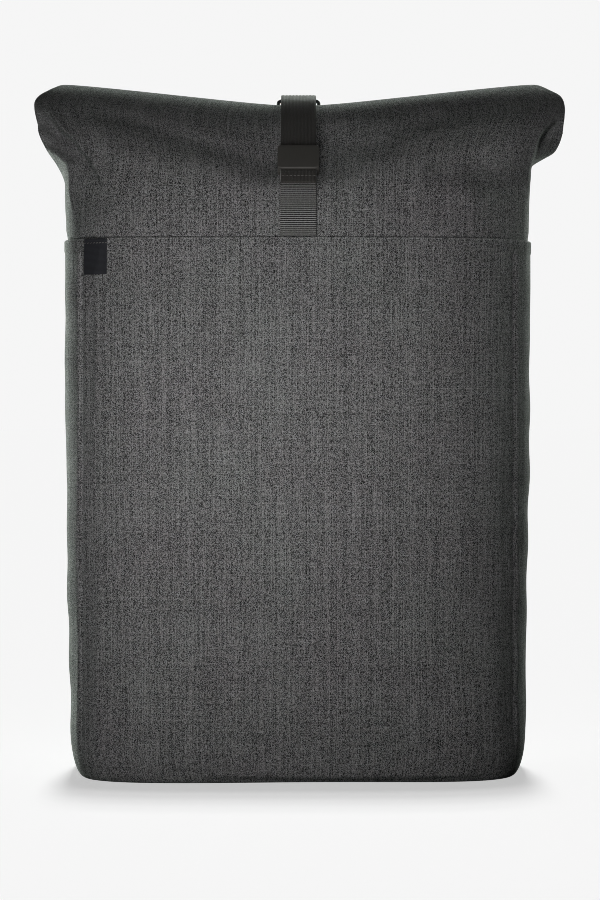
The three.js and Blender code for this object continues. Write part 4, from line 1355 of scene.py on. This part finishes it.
class AddCollar(bpy.types.Operator):
    """Cloth collar sewn inside the hem and rolled to the back"""

    bl_idname = "backpack.add_collar"
    bl_label = "Collar"

    def execute(self, context):
        cloth = context.scene.backpack_cloth
        u, v = section_round(ALONG_WIDTH, ALONG_DEPTH)
        skirt = np.array([HEM_Z + 0.6, HEM_Z - HEM_LAP])
        dome = np.linspace(DOME_Z, FLAT_Z, DOME_ROWS)
        turns = np.concatenate([np.arange(-57.5, 130, 2.5), np.arange(132, ROLL["end"] + 1, 8)])
        inset = CLOTH * (1.2 + 3.0 * smoothstep(HOLLOW_LEVELS, 410, 440))
        inner = dome_rings(u, v, HOLLOW_LEVELS, inset)
        inner[..., 1] += self.press(inner)
        level = np.zeros(2)
        skirt_inside = body_rings(u, v, skirt, level + 2 * CLOTH + GAP, level)
        skirt_outside = body_rings(u, v, skirt[::-1], level + CLOTH + GAP, level)
        outer = np.concatenate([dome_rings(u, v, dome, 0 * dome), roll_rings(u, v, turns)])
        outer = self.folded(outer, smoothstep(-v, 0.1, 0.55), dome, turns, cloth)
        points = np.concatenate([inner, skirt_inside, skirt_outside, outer])
        start = len(points) - len(outer)
        lengths = path_length(points[:, ALONG_WIDTH // 2])
        along = lengths - lengths[start] + COLLAR_WEAVE_FROM
        places = round_places(u, v)
        mesh = Surface().tube(points, places[None], along[:, None], points[..., :2]).mesh("collar_cloth")
        add_piece("collar_cloth", mesh, grey_cloth(cloth), "grey_cloth", "roll_collar")
        return {"FINISHED"}

    def smoothed(self, points, front, first, last):
        """The front wall drawn along one smooth curve from below the roll to its top."""
        part = points[first : last + 1]
        lengths = path_length(part[:, ALONG_WIDTH // 2])
        t = (lengths / lengths[-1])[:, None, None]
        span = np.linalg.norm(part[-1] - part[0], axis=-1, keepdims=True)
        way_in = unit(points[first] - points[first - 3]) * span
        way_out = unit(points[last + 3] - points[last]) * span
        curve = (1 + 2 * t) * (1 - t) ** 2 * part[0] + t * (1 - t) ** 2 * way_in
        curve = curve + t**2 * (3 - 2 * t) * part[-1] - t**2 * (1 - t) * way_out
        points[first : last + 1] = part + front[:, None] * (curve - part)

    def press(self, points):
        """How far the ends of the collar are pressed back: a pocket at the left and a flap at the right."""
        x, z = points[..., 0], points[..., 2]
        left = -side_of(x, z, LEFT_RIDGE)
        pocket = smoothstep(left, 0, POCKET["edge"]) * np.clip(1 - left / POCKET["reach"], 0, 1)
        pocket = POCKET["depth"] * pocket * between(z, POCKET["bottom"], POCKET["top"])
        right = side_of(x, z, RIGHT_EDGE)
        higher = np.clip((z - FLAP["deeper_from"]) / FLAP["deeper_over"], 0, 1)
        flap = smoothstep(right, 0, FLAP["edge"]) * (FLAP["depth"] + FLAP["deeper"] * higher)
        return pocket + flap * between(z, FLAP["bottom"], FLAP["top"])

    def folded(self, points, front, dome, turns, cloth):
        """Folds and ridges pressed into the front of the collar and the roll."""
        first = int(np.argmin(np.abs(dome - SMOOTH_FROM_Z)))
        self.smoothed(points, front, first, len(dome) + int(np.argmin(np.abs(turns - SMOOTH_TO_TURN))))
        normals = grid_normals(points)
        x, z = points[..., 0], points[..., 2]
        facing = smoothstep(-normals[..., 1], 0.15, 0.5)
        rows = np.concatenate([np.ones(len(dome)), smoothstep(-turns, -60, -25)])[:, None]
        lift = 1000 * cloth.ripple * ripple(x, z * 1.7, 11)
        for line, height, spread in COLLAR_FOLDS:
            lift = lift + height * hump(away_from(x, z, line), 0, spread)
        points[..., 1] += (self.press(points) - lift * facing) * rows
        return points


class AddClosure(bpy.types.Operator):
    """Strap over the roll, with its stitched end, and the ribbed webbing in front"""

    bl_idname = "backpack.add_closure"
    bl_label = "Closing strap and webbing"

    def execute(self, context):
        trim = context.scene.backpack_trim
        strap = Path(strap_places(), WEBBING_STEP)
        mesh = strap_mesh("strap_webbing", strap)
        add_piece("strap_webbing", mesh, dark_webbing(trim), "black_webbing", "closure_strap")
        mesh = self.hem_stitches("strap_stitches", strap)
        add_piece("strap_stitches", mesh, thread(trim), "black_webbing")
        front = Path(front_webbing_places(), CROSS_RIBS["step"])
        ribbed = finish_named("ribbed_webbing", ribbed_finish, trim.rib_painted_shade, trim.rib_painted_highlight, trim.rib_pitch)
        mesh = ribbed_mesh("front_ribbed_webbing", front, trim.rib_pitch / MM)
        add_piece("front_ribbed_webbing", mesh, ribbed, "black_webbing", "front_webbing")
        return {"FINISHED"}

    def hem_stitches(self, name, strap):
        """A row of slanting stitches across the front of the strap's hemmed end."""
        from_end, count, reach, slant = 5.6, 9, 10.6, 0.12
        point, along, across, through = strap.at(strap.s[-1] - from_end)
        side = -1 if strap.through[-1][1] > 0 else 1
        lift = side * (HEMMED / 2 + 0.1)
        middles = [point + offset * across + lift * through for offset in np.linspace(-reach, reach, count)]
        way = unit(across + slant * along)
        ways, outs = [way] * count, [through * side] * count
        return stitches_mesh(name, middles, ways, outs, STITCH["length"], STITCH["radius"])


class AddAnchor(bpy.types.Operator):
    """Webbing from the ring down to the back of the body"""

    bl_idname = "backpack.add_anchor"
    bl_label = "Anchor webbing"

    def execute(self, context):
        trim = context.scene.backpack_trim
        path = Path(anchor_places(), WEBBING_STEP)
        mesh = strap_mesh("anchor_strap", path)
        add_piece("anchor_strap", mesh, dark_webbing(trim), "black_webbing", "anchor_webbing")
        mesh = self.box_stitches("anchor_stitches", path)
        add_piece("anchor_stitches", mesh, thread(trim), "black_webbing")
        return {"FINISHED"}

    def box_stitches(self, name, path):
        """A box of stitches that holds the lower end to the body."""
        reach = 10.5
        spots = [(below, offset, False) for below in (3.5, 23.5) for offset in np.linspace(-reach, reach, 9)]
        spots += [(below, offset, True) for offset in (-reach, reach) for below in np.linspace(5.0, 22.0, 7)]
        side = 1 if path.through[-1][1] > 0 else -1
        middles, ways, outs = [], [], []
        for below, offset, lengthwise in spots:
            point, along, across, through = path.at(path.s[-1] - below)
            middles.append(point + offset * across + side * (WEBBING / 2 + STITCH["sunk"]) * through)
            ways.append(along if lengthwise else across)
            outs.append(side * through)
        return stitches_mesh(name, middles, ways, outs, STITCH["length"], STITCH["radius"])


class AddHardware(bpy.types.Operator):
    """Sleeve buckle at the front and wire ring at the top of the roll"""

    bl_idname = "backpack.add_hardware"
    bl_label = "Buckle and ring"

    def execute(self, context):
        trim = context.scene.backpack_trim
        self.add_buckle(trim)
        middle, down, out = ring_frame()
        wire = RING["wire"]
        corner = RING["corner"] - wire / 2 + 0.6
        loop = rounded_rectangle(RING["width"] - wire, RING["height"] - wire, corner, steps=10)
        mesh = wire_mesh("ring_wire", loop, wire / 2)
        in_middle(mesh, middle, down, out)
        metal = finish_named("coated_wire", coated_finish, trim.metal)
        add_piece("ring_wire", mesh, metal, "black_metal", "strap_ring")
        return {"FINISHED"}

    def add_buckle(self, trim):
        """A front, a middle and a rear plate with a slot between each two, joined at both sides."""
        _, down, out = front_run()
        middle = on_run(BUCKLE["z"]) + STRAP_IN_BUCKLE * out
        width, length, corner = BUCKLE["width"], BUCKLE["length"], BUCKLE["corner"]
        outline = rounded_rectangle(width, length, corner, steps=8)
        front, slot, wall, rear = (BUCKLE[name] for name in ("front", "slot", "middle", "rear"))
        depth = front + 2 * slot + wall + rear - 0.8
        side_width = (width - WEBBING_WIDTH) / 2 - GAP
        side = rounded_rectangle(side_width, length - 2 * corner + 3, 0.6)
        side_x, side_z = (width - side_width - 0.3) / 2, (front - rear) / 2
        plates = (
            (outline, front, 0.55, 0, wall / 2 + slot + front / 2),
            (outline, wall, 0.3, 0, 0),
            (outline, rear, 0.4, 0, -wall / 2 - slot - rear / 2),
            (side, depth, 0.3, -side_x, side_z),
            (side, depth, 0.3, side_x, side_z),
        )
        joined = bmesh.new()
        for loop, thickness, edge, x, z in plates:
            mesh = plate_mesh("plate", loop, (), thickness, edge)
            mesh.transform(Matrix.Translation((x * MM, 0, z * MM)))
            joined.from_mesh(mesh)
            bpy.data.meshes.remove(mesh)
        mesh = bpy.data.meshes.new("buckle_sleeve")
        joined.to_mesh(mesh)
        joined.free()
        shade_smooth(mesh)
        mesh.set_sharp_from_angle(angle=math.radians(40))
        in_middle(mesh, middle, down, out)
        plastic = finish_named("moulded_plastic", moulded_finish, trim.plastic)
        add_piece("buckle_sleeve", mesh, plastic, "dark_plastic", "strap_buckle")


class AddLabel(bpy.types.Operator):
    """Bare woven label below the hem, with its row of stitches"""

    bl_idname = "backpack.add_label"
    bl_label = "Label"

    def execute(self, context):
        trim = context.scene.backpack_trim
        columns = LABEL["x"] + np.linspace(-0.5, 0.5, 21) * LABEL["width"]
        drops = np.linspace(0, LABEL["drop"], 29)
        x, drop = np.meshgrid(columns, drops)
        form, stitch = LABEL_FORM, LABEL_STITCH
        z = HEM_Z - form["below_hem"] - drop
        curl = form["curl"] * smoothstep(drop, form["curl_from"], LABEL["drop"])
        curl = np.maximum(0, curl + form["wave"] * np.sin(x * 0.5 + drop * 0.12))
        back = front_of_body(x, z) - GAP - form["clear"] - form["lean"] * smoothstep(drop, 2, 10) - curl
        face = np.stack([x, back - form["thickness"], z], axis=-1)
        rear = np.stack([x, back, z], axis=-1)
        points = np.concatenate([face, rear[:, ::-1]], axis=1)
        places = np.concatenate([columns, columns[::-1], columns[:1]])
        mesh = Surface().tube(points, places[None], drops[:, None], points[..., [0, 2]]).mesh("label_patch")
        tape = finish_named("label_tape", label_finish, trim.label)
        add_piece("label_patch", mesh, tape, "label_cloth", "side_label")
        spots = np.linspace(columns[0] - stitch["left"], columns[-1] - stitch["right"], stitch["count"])
        height = HEM_Z - stitch["below_hem"]
        middles = [(spot, float(front_of_body(spot, height)) - stitch["out"], height) for spot in spots]
        slope = front_of_body(spots + 0.5, height) - front_of_body(spots - 0.5, height)
        ways = [unit((1, rise, stitch["slant"])) for rise in slope]
        outs = [unit((rise, -1, 0)) for rise in slope]
        length, radius = stitch["length"], stitch["radius"]
        mesh = stitches_mesh("label_stitches", np.array(middles), ways, outs, length, radius)
        add_piece("label_stitches", mesh, thread(trim), "label_cloth")
        return {"FINISHED"}


class AddShoulderStraps(bpy.types.Operator):
    """Padded shoulder straps with bound edges"""

    bl_idname = "backpack.add_shoulder_straps"
    bl_label = "Shoulder straps"

    def execute(self, context):
        cloth = context.scene.backpack_cloth
        trim = context.scene.backpack_trim
        dark = finish_named("strap_weave", melange_finish, cloth, cloth.strap_dark, cloth.strap_light)
        for side, sign in SIDES:
            path = Path(mirrored(shoulder_places(), sign), PAD["step"])
            name = f"shoulder_pad_{side}"
            mesh = swept_mesh(name, path, *self.pad_section(path))
            pad = add_piece(name, mesh, dark, "strap_cloth", f"shoulder_strap_{side}")
            for edge in (-1, 1):
                name = f"strap_binding_{side}_{'inner' if edge * sign < 0 else 'outer'}"
                mesh = self.binding(name, path, edge)
                add_piece(name, mesh, dark_webbing(trim), "black_webbing")
        return {"FINISHED"}

    def pad_section(self, path):
        """A pillow section with flat sewn edges."""
        t = np.linspace(0, 2 * np.pi, PAD["points"], endpoint=False)[None]
        u = np.sign(np.cos(t)) * np.abs(np.cos(t)) ** 0.55
        half = path.width[:, None] / 2 - PAD["inset"]
        thick = path.padding[:, None] / 2
        crown = np.maximum(1 - np.abs(u) ** 5, 0) ** 0.5
        edge = np.minimum(PAD["edge"], thick)
        body = edge + (thick - edge) * crown * smoothstep(1 - np.abs(u), 0.05, 0.3)
        beside = (np.abs(u) - PAD["channel_at"]) * half
        channel = PAD["channel"] * hump(beside, 0, PAD["channel_width"]) * (thick > 3)
        wave = PAD["wave"] * ripple(u * half * 1.5, path.s[:, None] + 0 * u, 23) * crown * (thick > 4)
        side = np.sign(np.sin(t))
        through = side * (body - channel + wave) * np.minimum(1, np.abs(np.sin(t)) * 6)
        across = u * half
        places = np.concatenate([across, across[:, :1]], axis=1)
        return across, through, places

    def binding(self, name, path, edge):
        """Tape folded round one edge of the pad."""
        t = np.radians(np.linspace(-90, 90, 9))
        half = path.width[:, None] / 2
        lap, inset, tape = [-BINDING["lap"]], BINDING["inset"], BINDING["tape"]
        rise, lap_rise = BINDING["height"], BINDING["lap_height"]
        outer = np.concatenate([lap, np.cos(t) * BINDING["bulge"], lap]) - inset
        height = np.concatenate([[-lap_rise], np.sin(t) * rise, [lap_rise]])
        inner = np.concatenate([lap, np.cos(t) * BINDING["inner_bulge"], lap]) - inset
        low = np.concatenate([[tape - lap_rise], np.sin(t) * (rise - tape), [lap_rise - tape]])
        across = edge * (half + np.concatenate([outer, inner[::-1]])[None])
        through = np.concatenate([height, low[::-1]])[None] + 0 * across
        places = np.concatenate([np.arange(across.shape[1]), [0]])[None] * 1.0
        ends = np.stack([across, through], axis=-1)
        return Surface().tube(path.place(across, through), places, path.s[:, None], ends).mesh(name)


class AddAdjusters(bpy.types.Operator):
    """Adjusters below the padded straps, their loops and the lower webbing"""

    bl_idname = "backpack.add_adjusters"
    bl_label = "Adjusters and lower webbing"

    def execute(self, context):
        trim = context.scene.backpack_trim
        plastic = finish_named("moulded_plastic", moulded_finish, trim.plastic)
        along, _, out = adjuster_frame()
        width, height, bar = ADJUSTER["width"], ADJUSTER["height"], ADJUSTER["bar"]
        middle_bar = ADJUSTER["middle_bar"]
        edges = (height / 2 - bar, -middle_bar + bar / 2, -middle_bar - bar / 2, bar - height / 2)
        holes = [
            rounded_rectangle(WEBBING_WIDTH + 2, top - bottom, 1, (top + bottom) / 2)
            for top, bottom in (edges[:2], edges[2:])
        ]
        outline = rounded_rectangle(width, height, ADJUSTER["corner"])
        for side, sign in SIDES:
            flip = np.array((sign, 1, 1))
            up, outwards = -along * flip, out * flip
            mesh = plate_mesh(f"slider_{side}", outline, holes, ADJUSTER["thickness"], 0.7)
            moved(mesh, tuple(np.cross(up, outwards)), tuple(up), tuple(outwards), ADJUSTER_PLACE * flip)
            add_piece(f"slider_{side}", mesh, plastic, "dark_plastic", f"adjuster_{side}")
            for name, places, node in (
                (f"slider_loop_{side}", loop_places(), f"adjuster_loop_{side}"),
                (f"tail_webbing_{side}", lower_webbing_places(), f"lower_webbing_{side}"),
            ):
                mesh = strap_mesh(name, Path(mirrored(places, sign), WEBBING_STEP))
                add_piece(name, mesh, dark_webbing(trim), "black_webbing", node)
        return {"FINISHED"}


OPERATORS = (
    AddStage,
    AddBody,
    AddCollar,
    AddClosure,
    AddAnchor,
    AddHardware,
    AddLabel,
    AddShoulderStraps,
    AddAdjusters,
)


class BackpackPanel(bpy.types.Panel):
    """The pieces of the backpack and their settings"""

    bl_idname = "VIEW3D_PT_backpack"
    bl_label = "Roll-top backpack"
    bl_space_type = "VIEW_3D"
    bl_region_type = "UI"
    bl_category = "Backpack"

    def draw(self, context):
        for operator in OPERATORS:
            self.layout.operator(operator.bl_idname)
        for name, group in GROUPS.items():
            box = self.layout.box()
            for setting in group.__annotations__:
                box.prop(getattr(context.scene, name), setting)


def register():
    for group in GROUPS.values():
        bpy.utils.register_class(group)
    for name, group in GROUPS.items():
        setattr(bpy.types.Scene, name, bpy.props.PointerProperty(type=group))
    for operator in OPERATORS:
        bpy.utils.register_class(operator)
    bpy.utils.register_class(BackpackPanel)


def unregister():
    bpy.utils.unregister_class(BackpackPanel)
    for operator in reversed(OPERATORS):
        bpy.utils.unregister_class(operator)
    for name, group in GROUPS.items():
        delattr(bpy.types.Scene, name)
        bpy.utils.unregister_class(group)


def main():
    register()
    bpy.ops.backpack.add_body()
    bpy.ops.backpack.add_collar()
    bpy.ops.backpack.add_closure()
    bpy.ops.backpack.add_anchor()
    bpy.ops.backpack.add_hardware()
    bpy.ops.backpack.add_label()
    bpy.ops.backpack.add_shoulder_straps()
    bpy.ops.backpack.add_adjusters()
    bpy.ops.backpack.add_stage()
    bpy.context.view_layer.update()


if __name__ == "__main__":
    main()
